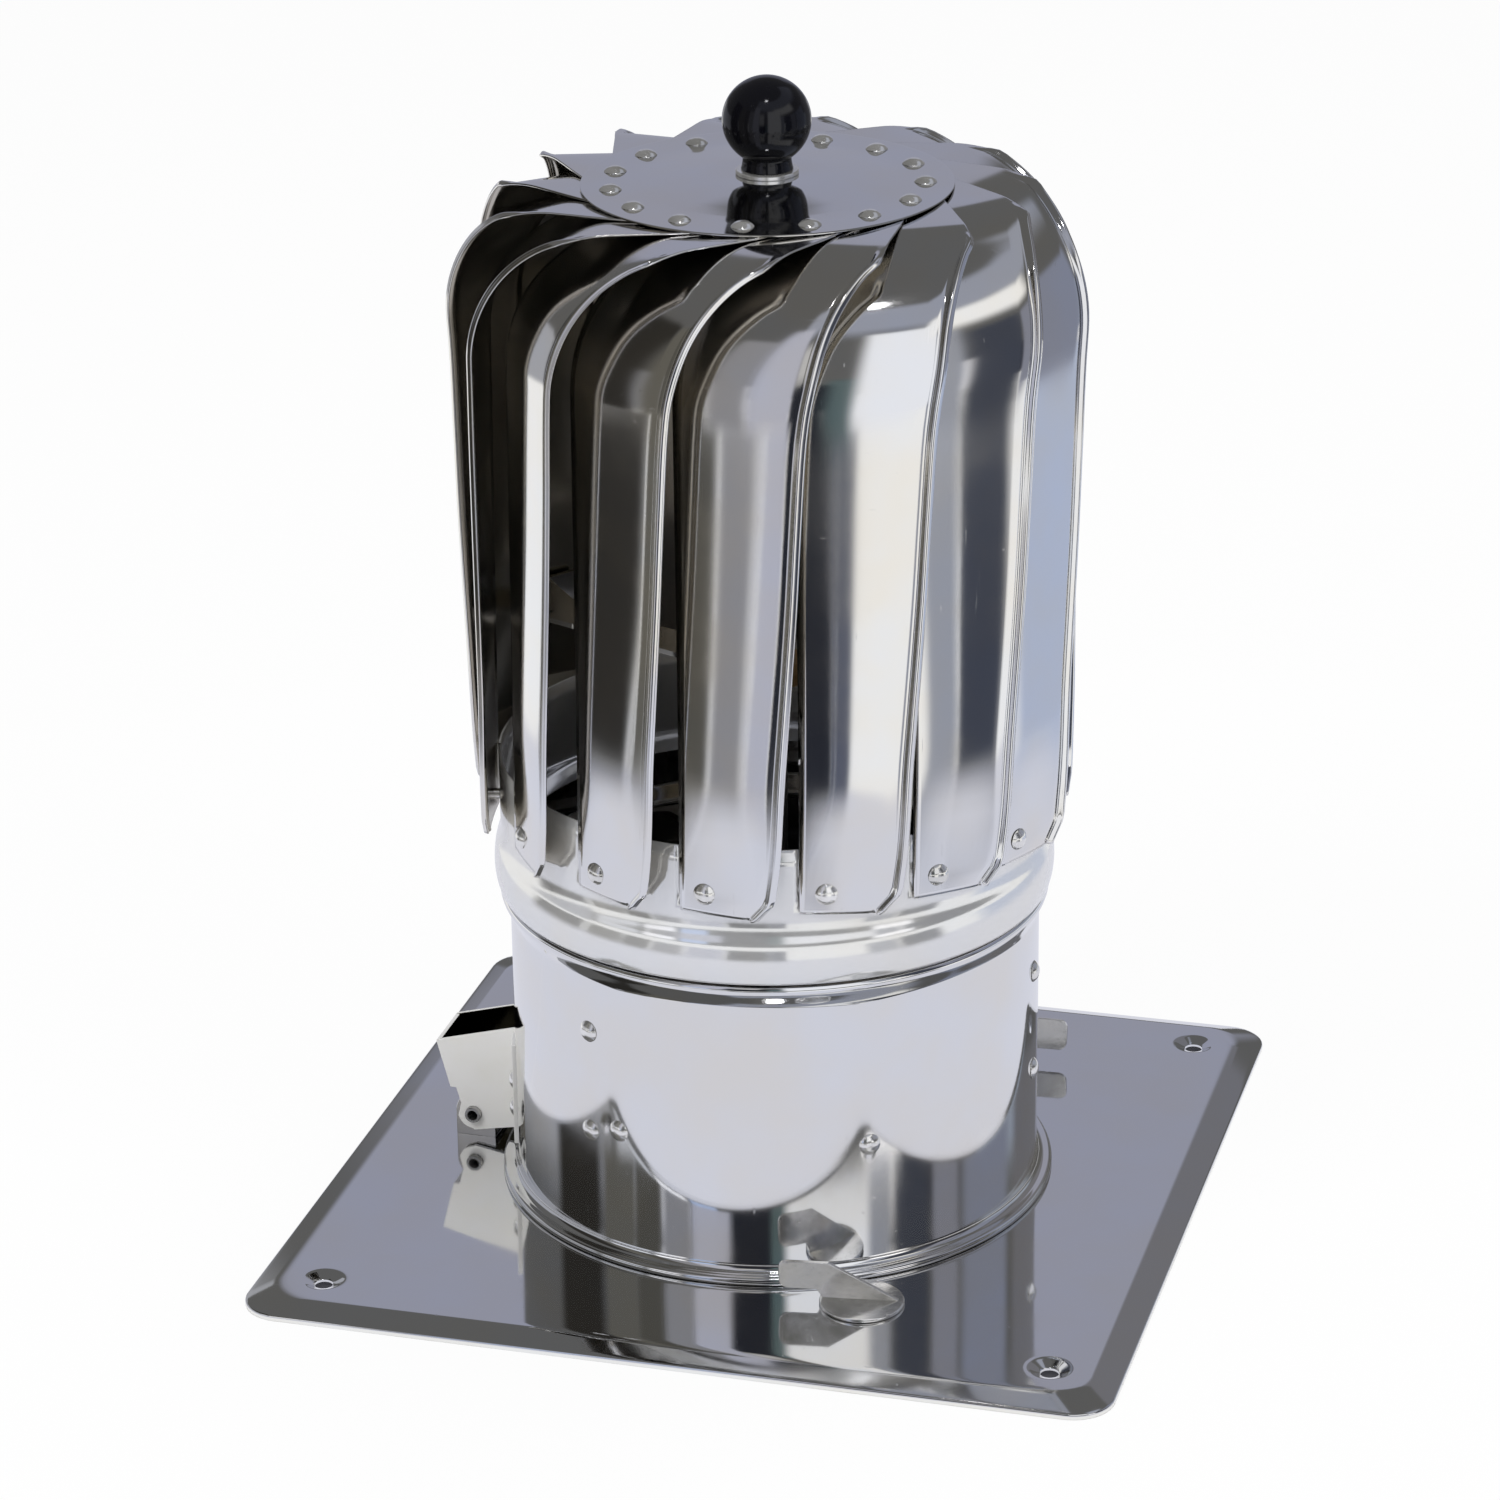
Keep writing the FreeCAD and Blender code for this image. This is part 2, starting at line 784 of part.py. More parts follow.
def disc_rivet_grip():
    lead = math.radians(disc_rivet_lead)
    side = disc_rivet_r * math.sin(lead) - rivet_r
    under = blade_height_at(disc_rivet_r * math.cos(lead), side) - blade_sheet / tilt_cos
    return disc_top - under


def make_top_disc():
    """Pressed disc: flat rim over the blades' tips, shallow cone and a raised flat middle."""
    disc = revolved([
        (stud_r, disc_top + disc_rise),
        (disc_flat_r, disc_top + disc_rise),
        (disc_slope_r, disc_top),
        (disc_r, disc_top),
        (disc_r, disc_under),
        (disc_slope_r, disc_under),
        (disc_flat_r, hub_top),
        (stud_r, hub_top),
    ])
    for angle in blade_angles():
        disc = disc.cut(disc_rivet_tool(angle, drum(rivet_r, disc_under, disc_top)))
    return disc


def make_hub():
    """Bearing housing hung under the disc, blind at the top where the stud screws in."""
    low = hub_top - hub_length
    bore_top = hub_top - hub_boss
    grip_end = hub_top - stud_grip
    return revolved([
        (bush_r, low),
        (hub_r - 1, low),
        (hub_r, low + 1),
        (hub_r, hub_top - 2 * hub_flange),
        (hub_flange_r, hub_top - hub_flange),
        (hub_flange_r, hub_top),
        (stud_r, hub_top),
        (stud_r, grip_end),
        (0, grip_end),
        (0, bore_top),
        (bush_r, bore_top),
    ])


def make_hub_bush():
    low = hub_top - hub_length + bush_inset
    return tube(bush_r, axle_r + fit_gap, low, low + bush_length)


def make_thrust_pad():
    return drum(bush_r, pad_z, pad_z + pad_height)


def make_turbine_spider():
    """Spokes from the lower bush to tabs turned up inside three of the blades."""
    y0 = spoke_side - spoke_width / 2
    y1 = spoke_side + spoke_width / 2
    high = spoke_z + spoke_tab
    face = blade_face_at(spoke_side, high) - blade_sheet
    tab = box(face - spoke_sheet, face, y0, y1, spoke_z, high)
    aim = math.degrees(math.atan2(spoke_side, face))
    length = math.hypot(face, spoke_side) - spoke_sheet
    half = spoke_width / 2
    spoke = turned(box(0, length, -half, half, spoke_z, spoke_z + spoke_sheet), aim)
    spoke = spoke.common(box(0, face, -spoke_width, y1, spoke_z, high))
    arm = spoke.fuse(tab)
    hub = drum(spoke_hub_r, spoke_z, spoke_z + spoke_sheet)
    for k in range(arm_count):
        hub = hub.fuse(turned(arm, blade_first + 360.0 / arm_count * k))
    return hub.cut(drum(spoke_bush_r, spoke_z, high)).removeSplitter()


def make_spider_bush():
    low = spoke_z - 0.5 * (spoke_bush_length - spoke_sheet)
    high = low + spoke_bush_length
    bush = tube(spoke_bush_r, axle_r + fit_gap, low, high)
    return bush.fuse(tube(spoke_bush_r + 2, axle_r + fit_gap, spoke_z + spoke_sheet, high)).removeSplitter()


def make_axle_clip():
    high = spoke_z - 0.5 * (spoke_bush_length - spoke_sheet) - clip_gap
    return tube(clip_r, axle_r, high - clip_sheet, high)


def make_knob():
    """Ball knob on a short flared foot, bored for the stud."""
    neck_z = knob_seat + knob_foot
    centre = neck_z + math.sqrt(knob_r ** 2 - knob_neck_r ** 2)
    ball = Part.makeSphere(knob_r, V(0, 0, centre))
    foot = Part.makeCone(knob_foot_r, knob_neck_r, knob_foot, V(0, 0, knob_seat))
    knob = ball.fuse(foot).fuse(drum(knob_neck_r, neck_z, centre))
    bore = drum(stud_r, knob_seat, knob_seat + stud_thread)
    return knob.cut(bore).removeSplitter()


def make_stud():
    return drum(stud_r, hub_top - stud_grip, knob_seat + stud_thread)


def make_disc_rivets():
    one = moved(rivet(disc_rivet_grip(), tail=0.3), 0, 0, disc_top)
    return [disc_rivet_tool(angle, one) for angle in blade_angles()]


def make_foot_rivets():
    one = rivet(foot_rivet_grip(), tail=0.0)
    return [foot_rivet_tool(angle, one) for angle in blade_angles()]


def make_carrier_rivets():
    one = rivet(collar_sheet + arm_sheet)
    return [radial(one, collar_r, angle, z) for angle in arm_angles() for z in arm_rivet_z]


def make_lug_rivets():
    one = rivet(collar_sheet + lug_sheet)
    return [radial(one, collar_r, angle, lug_rivet_z) for angle in lug_angles]


def make_bracket_rivets():
    one = rivet(bracket_sheet + collar_sheet)
    places = [(180 + side * flange_angle(), z) for side in (-1, 1) for z in flange_rivet_z]
    return [radial(one, collar_r + bracket_sheet, angle, z) for angle, z in places]


def make_leaf_rivets():
    one = moved(rivet(bracket_sheet + plate_sheet), 0, 0, plate_top + bracket_sheet)
    return [moved(one, x, y) for x, y in leaf_rivet_places()]


nuts = [
    make_nut(arm_z - washer_sheet - nut_height, nut_height, axle_r),
    make_nut(arm_z + arm_sheet + washer_sheet, nut_height, axle_r),
]
carrier_washers = [
    tube(washer_r, axle_r, arm_z - washer_sheet, arm_z),
    tube(washer_r, axle_r, arm_z + arm_sheet, arm_z + arm_sheet + washer_sheet),
]

parts = {
    "base_plate": [make_base_plate()],
    "hinge_leaf": [make_hinge_leaf()],
    "leaf_rivets": make_leaf_rivets(),
    "latch_front": [make_latch(-1, latch_turn[0])],
    "latch_front_retainer": [make_retainer(-1)],
    "latch_back": [make_latch(1, latch_turn[1])],
    "latch_back_retainer": [make_retainer(1)],
    "collar_tube": [make_collar()],
    "hinge_bracket": [make_hinge_bracket()],
    "hinge_pin": [make_hinge_pin()],
    "bracket_rivets": make_bracket_rivets(),
    "axle_carrier": [make_axle_carrier()],
    "carrier_rivets": make_carrier_rivets(),
    "guide_lugs": make_guide_lugs(),
    "lug_rivets": make_lug_rivets(),
    "axle": [make_axle()],
    "axle_nuts": nuts,
    "axle_washers": carrier_washers,
    "axle_clip": [make_axle_clip()],
    "lower_ring": [make_ring()],
    "foot_rivets": make_foot_rivets(),
    "turbine_spider": [make_turbine_spider()],
    "spider_bush": [make_spider_bush()],
    "top_disc": [make_top_disc()],
    "disc_rivets": make_disc_rivets(),
    "bearing_hub": [make_hub()],
    "hub_bush": [make_hub_bush()],
    "thrust_pad": [make_thrust_pad()],
    "knob_stud": [make_stud()],
    "knob_washer": [tube(washer_r, stud_r, knob_seat - washer_sheet, knob_seat)],
    "ball_knob": [make_knob()],
}
blade = make_blade()
for number, angle in enumerate(blade_angles()):
    parts["blade_%02d" % (number + 1)] = [turned(blade, angle)]

os.makedirs("parts", exist_ok=True)
for name, solids in parts.items():
    shape = solids[0] if len(solids) == 1 else Part.makeCompound(solids)
    shape.exportStep("parts/" + name + ".step")
    count = len(shape.Solids)
    print(name, count, "solids", "valid" if shape.isValid() else "INVALID", round(shape.Volume, 1))
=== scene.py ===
import math

import bmesh
import bpy
from mathutils import Matrix, Vector


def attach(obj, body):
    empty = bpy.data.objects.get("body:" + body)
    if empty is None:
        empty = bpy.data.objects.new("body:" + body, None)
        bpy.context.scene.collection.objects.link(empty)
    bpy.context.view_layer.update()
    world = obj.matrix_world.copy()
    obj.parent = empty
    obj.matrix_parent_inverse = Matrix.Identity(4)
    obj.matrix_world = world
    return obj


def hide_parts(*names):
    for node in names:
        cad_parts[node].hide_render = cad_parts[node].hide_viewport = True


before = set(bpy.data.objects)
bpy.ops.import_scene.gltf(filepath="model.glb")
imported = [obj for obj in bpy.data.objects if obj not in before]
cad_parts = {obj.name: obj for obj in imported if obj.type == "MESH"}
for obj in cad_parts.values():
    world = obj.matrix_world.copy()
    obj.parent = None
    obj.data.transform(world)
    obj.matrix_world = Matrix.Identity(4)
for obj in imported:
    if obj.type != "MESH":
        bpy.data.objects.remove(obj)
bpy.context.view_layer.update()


# Base plate: one square of thin stainless sheet, mirror polished and drawn in a press, with a
# sloped border, a short upright lip, four screw dimples and a neck that fits into the flue.
class Value:
    """A socket of a material that can stand in plain arithmetic."""

    def __init__(self, finish, socket):
        self.finish = finish
        self.socket = socket

    def math(self, operation, *terms):
        return self.finish.node("ShaderNodeMath", {"operation": operation}, dict(enumerate(terms)))

    def __add__(self, other):
        return self.math("ADD", self, other)

    __radd__ = __add__

    def __sub__(self, other):
        return self.math("SUBTRACT", self, other)

    def __rsub__(self, other):
        return self.math("SUBTRACT", other, self)

    def __mul__(self, other):
        return self.math("MULTIPLY", self, other)

    __rmul__ = __mul__

    def __pow__(self, other):
        return self.math("POWER", self, other)


class Finish:
    """A material whose plain numbers are set at once and whose variation is added node by node."""

    def __init__(self, name, plain):
        self.material = bpy.data.materials.new(name)
        self.material.use_nodes = True
        self.tree = self.material.node_tree
        self.shader = self.tree.nodes["Principled BSDF"]
        for socket, value in plain.items():
            self.shader.inputs[socket].default_value = value
        self.place = self.node("ShaderNodeTexCoord", {}, {}, "Object")

    def node(self, kind, settings, sockets, out=0):
        made = self.tree.nodes.new(kind)
        for key, value in settings.items():
            if key == "stops":
                while len(made.color_ramp.elements) < len(value):
                    made.color_ramp.elements.new(0.5)
                for element, (position, colour) in zip(made.color_ramp.elements, value):
                    element.position = position
                    element.color = colour
            else:
                setattr(made, key, value)
        for key, value in sockets.items():
            if isinstance(value, Value):
                self.tree.links.new(value.socket, made.inputs[key])
            else:
                made.inputs[key].default_value = value
        return Value(self, made.outputs[out])

    def stretched(self, scale):
        """The piece's own coordinates, squeezed or stretched along each axis."""
        return self.node("ShaderNodeMapping", {}, {"Vector": self.place, "Scale": scale})

    def clouds(self, scale, detail=2.0, rough=0.5, vector=None):
        """Smooth noise, mostly from 0.3 to 0.7, with features one over the scale metres wide."""
        sockets = {"Vector": vector or self.place, "Scale": scale, "Detail": detail, "Roughness": rough}
        return self.node("ShaderNodeTexNoise", {}, sockets)

    def between(self, value, low, high, to_low=0.0, to_high=1.0):
        """Value run smoothly from one pair of limits to another."""
        sockets = {"Value": value, "From Min": low, "From Max": high, "To Min": to_low, "To Max": to_high}
        return self.node("ShaderNodeMapRange", {"interpolation_type": "SMOOTHSTEP"}, sockets)

    def blend(self, factor, a, b):
        """Colour between two colours."""
        return self.node("ShaderNodeMix", {"data_type": "RGBA"}, {0: factor, 6: a, 7: b}, 2)

    def feed(self, socket, value):
        self.tree.links.new(value.socket, self.shader.inputs[socket])

    def relief(self, height):
        """Surface relief from a height in metres."""
        bump = self.node("ShaderNodeBump", {}, {"Height": height, "Distance": 1.0, "Strength": 1.0})
        self.feed("Normal", bump)


def polished_steel(name, warp, warp_stretch, rough, warm=0.5, metal=1.0):
    """Mirror-polished stainless sheet: slow warps, wiped haze and a few hairline scratches."""
    finish = Finish(name, {"Metallic": metal, "IOR": 1.5})
    haze = finish.clouds(22.0, 3.0, 0.6)
    spots = finish.clouds(160.0, 2.0, 0.5)
    along = finish.clouds(900.0, 1.0, 0.4, finish.stretched((1.0, 1.0, 0.03)))
    across = finish.clouds(700.0, 1.0, 0.4, finish.stretched((0.05, 1.0, 1.0)))
    hairline = finish.between(along, 0.72, 0.80) * finish.between(spots, 0.50, 0.62)
    scuff = finish.between(across, 0.74, 0.80) * finish.between(haze, 0.50, 0.60)
    cool = (0.80, 0.81, 0.83, 1.0)
    straw = (0.80 + 0.03 * warm, 0.80 - 0.01 * warm, 0.79 - 0.07 * warm, 1.0)
    finish.feed("Base Color", finish.blend(finish.between(haze, 0.3, 0.7), cool, straw))
    gloss = finish.between(haze, 0.35, 0.75, rough, rough + 0.05)
    finish.feed("Roughness", gloss + 0.12 * hairline + 0.10 * scuff)
    wave = finish.clouds(1.0, 1.5, 0.4, finish.stretched(warp_stretch))
    finish.relief(warp * wave - 0.000006 * hairline - 0.000004 * scuff)
    return finish


def piece(name, points, faces, body, finish, nodes=(), sharp=35.0, closed=True):
    """Mesh piece from points in millimetres, riding on a body in place of CAD nodes."""
    mesh = bpy.data.meshes.new(name)
    mesh.from_pydata([(x * 0.001, y * 0.001, z * 0.001) for x, y, z in points], [], faces)
    form = bmesh.new()
    form.from_mesh(mesh)
    bmesh.ops.remove_doubles(form, verts=form.verts, dist=1e-7)
    if closed:
        bmesh.ops.recalc_face_normals(form, faces=form.faces)
    form.to_mesh(mesh)
    form.free()
    mesh.shade_smooth()
    mesh.set_sharp_from_angle(angle=math.radians(sharp))
    mesh.materials.append(finish.material)
    made = bpy.data.objects.new(name, mesh)
    bpy.context.collection.objects.link(made)
    if nodes:
        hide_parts(*nodes)
    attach(made, body)
    return made


def thicken(made, sheet, inside=None):
    """Gives a skin its sheet thickness, on the side away from its outer face."""
    wall = made.modifiers.new("sheet", "SOLIDIFY")
    if inside:
        made.data.materials.append(inside.material)
        wall.material_offset = 1
    wall.thickness = sheet * 0.001
    wall.offset = -1.0
    wall.use_even_offset = True
    return made


def even_shading(made):
    """Keeps broad flat areas flat where small rounded edges join them."""
    shading = made.modifiers.new("even shading", "WEIGHTED_NORMAL")
    shading.keep_sharp = True
    shading.weight = 90
    return made


def arc(x, z, radius, start, end, steps):
    """Points of an arc in the section plane, angles in degrees from +X towards +Z."""
    points = []
    for k in range(steps + 1):
        angle = math.radians(start + (end - start) * k / steps)
        points.append((x + radius * math.cos(angle), z + radius * math.sin(angle)))
    return points


def square_loop(half, corner, height, steps=10):
    """Points of a square with rounded corners at one height."""
    loop = []
    flat = half - corner
    for k in range(4):
        for x, y in arc(flat, flat, corner, 0, 90, steps):
            turn = math.radians(90 * k)
            loop.append((x * math.cos(turn) - y * math.sin(turn), x * math.sin(turn) + y * math.cos(turn), height))
    return loop


def round_loop(x, y, radius, height, steps):
    """Points of a circle at one height."""
    loop = []
    for k in range(steps):
        angle = 2 * math.pi * k / steps
        loop.append((x + radius * math.cos(angle), y + radius * math.sin(angle), height))
    return loop


def skin(loops):
    """Points and faces that join like loops, one after another."""
    points = [point for loop in loops for point in loop]
    size = len(loops[0])
    faces = []
    for row in range(len(loops) - 1):
        for k in range(size):
            n = (k + 1) % size
            faces.append((row * size + k, row * size + n, row * size + size + n, row * size + size + k))
    return points, faces


def fill_between(loops):
    """Triangles of the flat area inside the first loop and outside the others."""
    form = bmesh.new()
    for loop in loops:
        corners = [form.verts.new(point) for point in loop]
        for k, corner in enumerate(corners):
            form.edges.new((corner, corners[(k + 1) % len(corners)]))
    bmesh.ops.triangle_fill(form, use_beauty=True, edges=form.edges)
    form.verts.index_update()
    form.normal_update()
    points = [tuple(corner.co) for corner in form.verts]
    faces = []
    for face in form.faces:
        order = [corner.index for corner in face.verts]
        faces.append(order if face.normal.z > 0 else order[::-1])
    form.free()
    return points, faces


def together(parts):
    """One list of points and faces from several."""
    points = []
    faces = []
    for more_points, more_faces in parts:
        start = len(points)
        points += more_points
        faces += [tuple(start + corner for corner in face) for face in more_faces]
    return points, faces


plate_half = 125.0
plate_corner = 12.0
plate_top = 4.0
lip_top = 1.6
slope = 2.4 / 7.5
screw_half = 105.0
neck_r = 70.0
border = [(0.0, 0.0), (0.0, 1.1), (0.06, 1.40), (0.24, 1.62), (0.6, lip_top + 0.6 * slope)]
border += [(1.6, lip_top + 1.6 * slope), (6.0, lip_top + 6.0 * slope), (6.8, 3.75), (7.6, 3.90), (8.5, 3.98), (9.6, plate_top)]
rim_loops = [square_loop(plate_half - inset, plate_corner, height) for inset, height in border]
neck_path = [(neck_r + 2.6, plate_top), (neck_r + 1.5, plate_top)]
neck_path += arc(neck_r + 1.5, plate_top + 1.5, 1.5, 270, 180, 6)[1:] + [(neck_r, 12.0)]
neck_loops = [round_loop(0, 0, radius, height, 160) for radius, height in neck_path]
dimple_path = [(7.6, 4.0), (6.6, 3.98), (6.0, 3.88), (5.4, 3.66), (3.5, 2.78), (2.9, 2.56), (2.65, 2.35), (2.6, 1.75)]
dimples = []
holes = [neck_loops[0]]
for side_x in (-screw_half, screw_half):
    for side_y in (-screw_half, screw_half):
        loops = [round_loop(side_x, side_y, radius, height, 40) for radius, height in dimple_path]
        dimples.append(skin(loops))
        holes.append(loops[0])
flat = fill_between([rim_loops[-1]] + holes)
plate_steel = polished_steel("mirror_plate", 0.0006, (9.0, 9.0, 9.0), 0.045, warm=0.2)
points, faces = together([skin(rim_loops), flat, skin(neck_loops)] + dimples)
base_plate = piece("base_plate_sheet", points, faces, "base", plate_steel, ["base_plate"], closed=False)
even_shading(thicken(base_plate, 0.8))


# Turn latches: a stamped disc on a rivet pivot with a leaning flag, whose finger swings over the
# collar's foot rim. Plain stainless, scratched all over from handling.
def satin_steel(name, tone, rough, scratch, metal=1.0):
    """Cold-rolled sheet as it comes, with crossing scratches and dull patches."""
    finish = Finish(name, {"Metallic": metal, "IOR": 1.5})
    patches = finish.clouds(90.0, 3.0, 0.6)
    first = finish.clouds(1.0, 2.0, 0.6, finish.stretched((260.0, 2600.0, 900.0)))
    second = finish.clouds(1.0, 2.0, 0.6, finish.stretched((2200.0, 340.0, 1500.0)))
    marks = finish.between(first, 0.62, 0.74) + finish.between(second, 0.64, 0.76)
    dark = (tone * 0.80, tone * 0.79, tone * 0.76, 1.0)
    light = (tone, tone * 0.99, tone * 0.97, 1.0)
    finish.feed("Base Color", finish.blend(finish.between(patches, 0.3, 0.7), dark, light))
    finish.feed("Roughness", finish.between(patches, 0.3, 0.7, rough, rough + 0.12) + scratch * marks)
    finish.relief(0.00002 * patches + 0.000012 * marks)
    return finish


def lathe(outline, turns, closed=False):
    """Points and faces of an outline of (radius, height) pairs turned round the Z axis."""
    if closed:
        outline = outline + [outline[0]]
    return skin([round_loop(0, 0, radius, height, turns) for radius, height in outline])


def placed(form, matrix):
    """Points and faces moved by a matrix in millimetres."""
    points, faces = form
    return [tuple(matrix @ Vector(point)) for point in points], faces


def plate_of(outline, low, high):
    """A flat plate: an outline of (x, z) points between two distances along Y."""
    count = len(outline)
    points = [(x, low, z) for x, z in outline] + [(x, high, z) for x, z in outline]
    faces = [tuple(range(count)), tuple(range(2 * count - 1, count - 1, -1))]
    for k in range(count):
        n = (k + 1) % count
        faces.append((k, count + k, count + n, n))
    return points, faces


def soften(made, width, steps=2):
    """Rounds the cut edges a little, so that they catch the light."""
    edge = made.modifiers.new("edge", "BEVEL")
    edge.width = width * 0.001
    edge.segments = steps
    edge.limit_method = "ANGLE"
    edge.angle_limit = math.radians(40)
    edge.harden_normals = True
    return made


latch_steel = satin_steel("latch_steel", 0.90, 0.12, 0.06, 0.9)
flag_low = 4.7
flag_outline = [(10.3, flag_low), (10.3, 5.3), (-9.2, 17.5)] + arc(-20.8, 15.0, 2.5, 90, 180, 6)
flag_outline += arc(-20.8, 10.5, 2.5, 180, 270, 6) + [(-12.7, 8.0), (-10.9, flag_low)]
disc_outline = [(0.0, 4.1), (11.6, 4.1), (11.9, 4.2), (12.0, 4.5), (12.0, 5.0), (11.8, 5.22), (11.4, 5.3), (0.0, 5.3)]
for label, side, turn in (("front", -1, 8.0), ("back", 1, 182.0)):
    angle = math.radians(60.5 * side)
    lean = Matrix.Translation((0, 0, 5.3)) @ Matrix.Rotation(math.radians(12), 4, "X") @ Matrix.Translation((0, 0, -5.3))
    spot = Matrix.Translation((94.0 * math.cos(angle), 94.0 * math.sin(angle), 0)) @ Matrix.Rotation(math.radians(turn), 4, "Z")
    flag = placed(plate_of(flag_outline, 0.0, 1.2), spot @ lean)
    disc = placed(lathe(disc_outline, 64), spot)
    pivot = placed(lathe([(0.0, 1.7), (3.0, 1.7), (3.0, 4.2), (0.0, 4.2)], 32), spot)
    points, faces = together([flag, disc, pivot])
    body = "latch_%s_body" % label
    latch = piece("latch_%s_flag" % label, points, faces, body, latch_steel, ["latch_" + label], sharp=30)
    soften(latch, 0.22)


# Collar tube: rolled from thin mirror-polished sheet, with a rolled foot rim that rests on the
# plate, a bead just under the turbine and a plain spigot inside the turbine's ring.
collar_r = 76.5
collar_steel = polished_steel("mirror_collar", 0.0004, (14.0, 14.0, 7.0), 0.05, warm=0.5)
collar_path = [(81.0, 4.3), (81.0, 5.1)] + arc(79.8, 5.1, 1.2, 0, 90, 6) + arc(79.0, 8.8, 2.5, 270, 180, 8)
collar_path += [(collar_r, height) for height in (12.0, 26.0, 44.0, 62.0, 78.0, 86.0)]
collar_path += [(76.6, 88.0), (76.95, 89.2), (77.6, 90.6), (78.3, 92.0), (78.9, 93.2), (79.2, 94.2)]
collar_path += [(79.1, 95.0), (78.7, 95.7), (78.0, 96.1), (77.2, 96.2), (75.8, 96.2), (75.4, 96.6), (75.4, 106.0)]
points, faces = lathe(collar_path, 320)
collar = piece("collar_sheet", points, faces, "cowl_body", collar_steel, ["collar_tube"], closed=False)
even_shading(thicken(collar, 0.6))


# Blind rivets through the sheets: low domed steel heads on plain shanks, set by a hand tool.
def dome(head_r, height, shank, grip, steps=10):
    """Rivet section from the head's crown to the shank's end, zero at the head's seat."""
    outline = [(0.0, height)]
    for k in range(1, steps + 1):
        share = math.sin(math.radians(90 * k / steps))
        outline.append((head_r * share, 0.15 + (height - 0.15) * (1 - share ** 2.6)))
    outline += [(head_r, 0.04), (head_r - 0.15, 0.0), (shank, 0.0), (shank, -grip), (0.0, -grip)]
    return outline[::-1]


rivet_steel = satin_steel("rivet_steel", 0.94, 0.10, 0.04, 0.88)


def rivets(name, node, body, grip, places):
    """One piece of like rivets, each place a matrix that lays a rivet built along +Z."""
    one = lathe(dome(3.15, 1.6, 1.6, grip), 28)
    points, faces = together([placed(one, place) for place in places])
    return piece(name, points, faces, body, rivet_steel, [node], sharp=40)


def outwards(radius, azimuth, height):
    """Place on a cylinder's wall, facing outwards."""
    turn = Matrix.Rotation(math.radians(azimuth), 4, "Z")
    return turn @ Matrix.Translation((radius, 0, height)) @ Matrix.Rotation(math.radians(90), 4, "Y")


arms = [(1.5 + 120 * k, height) for k in range(3) for height in (41.0, 72.0)]
rivets("carrier_rivet_heads", "carrier_rivets", "cowl_body", 3.4, [outwards(collar_r, a, z) for a, z in arms])
lugs = (-110.5, -55.0, 55.0, 110.5)
rivets("lug_rivet_heads", "lug_rivets", "cowl_body", 2.4, [outwards(collar_r, a, 44.0) for a in lugs])
flange = math.degrees(math.asin(16.0 / collar_r))
flange_places = [outwards(collar_r + 1.2, 180 + side * flange, z) for side in (-1, 1) for z in (19.5, 28.5)]
rivets("bracket_rivet_heads", "bracket_rivets", "cowl_body", 2.6, flange_places)
leaf_places = [Matrix.Translation((-91.0, side * 3.8, 5.2)) for side in (-1, 1)]
rivets("leaf_rivet_heads", "leaf_rivets", "base", 2.8, leaf_places)


# Lower ring of the turbine: rolled sheet with a full round shoulder, slit beside each blade so
# that the blade's foot can be set at its angle and riveted on.
def eased(points, steps):
    """Smooth run of points through a few stations."""
    run = []
    for k in range(len(points) - 1):
        a = points[max(k - 1, 0)]
        b = points[k]
        c = points[k + 1]
        d = points[min(k + 2, len(points) - 1)]
        for n in range(steps):
            t = n / steps
            spot = []
            for p, q, r, s in zip(a, b, c, d):
                spot.append(0.5 * (2 * q + (r - p) * t + (2 * p - 5 * q + 4 * r - s) * t ** 2 + (3 * q - 3 * r + s - p) * t ** 3))
            run.append(tuple(spot))
    run.append(tuple(points[-1]))
    return run


pitch = 24.0
first_blade = -97.0
slit_half = math.degrees(0.5 / 78.7)
slit_low = 120.0
ring_path = eased([(79.7, 97.0), (80.45, 100.0), (80.7, 104.0), (80.2, 108.5), (79.3, 111.6), (78.75, 114.5), (78.7, 118.0)], 4)
ring_path += [(78.7, slit_low), (78.7, 126.0), (78.7, 132.0), (78.7, 137.0)]
ring_angles = []
for k in range(15):
    middle = first_blade + 3.4 + pitch * k
    ring_angles += [middle - slit_half, middle + slit_half]
    ring_angles += [middle + slit_half + (pitch - 2 * slit_half) * n / 18 for n in range(1, 18)]
size = len(ring_path)
points = []
for azimuth in ring_angles:
    turn = math.radians(azimuth)
    points += [(radius * math.cos(turn), radius * math.sin(turn), height) for radius, height in ring_path]
faces = []
for k in range(len(ring_angles)):
    n = (k + 1) % len(ring_angles)
    for j in range(size - 1):
        if k % 19 == 0 and ring_path[j][1] >= slit_low:
            continue
        faces.append((k * size + j, n * size + j, n * size + j + 1, k * size + j + 1))
ring_steel = polished_steel("mirror_ring", 0.0004, (12.0, 12.0, 10.0), 0.08, warm=0.3, metal=0.6)
ring = piece("lower_ring_sheet", points, faces, "turbine", ring_steel, ["lower_ring"], closed=False)
thicken(ring, 0.6)


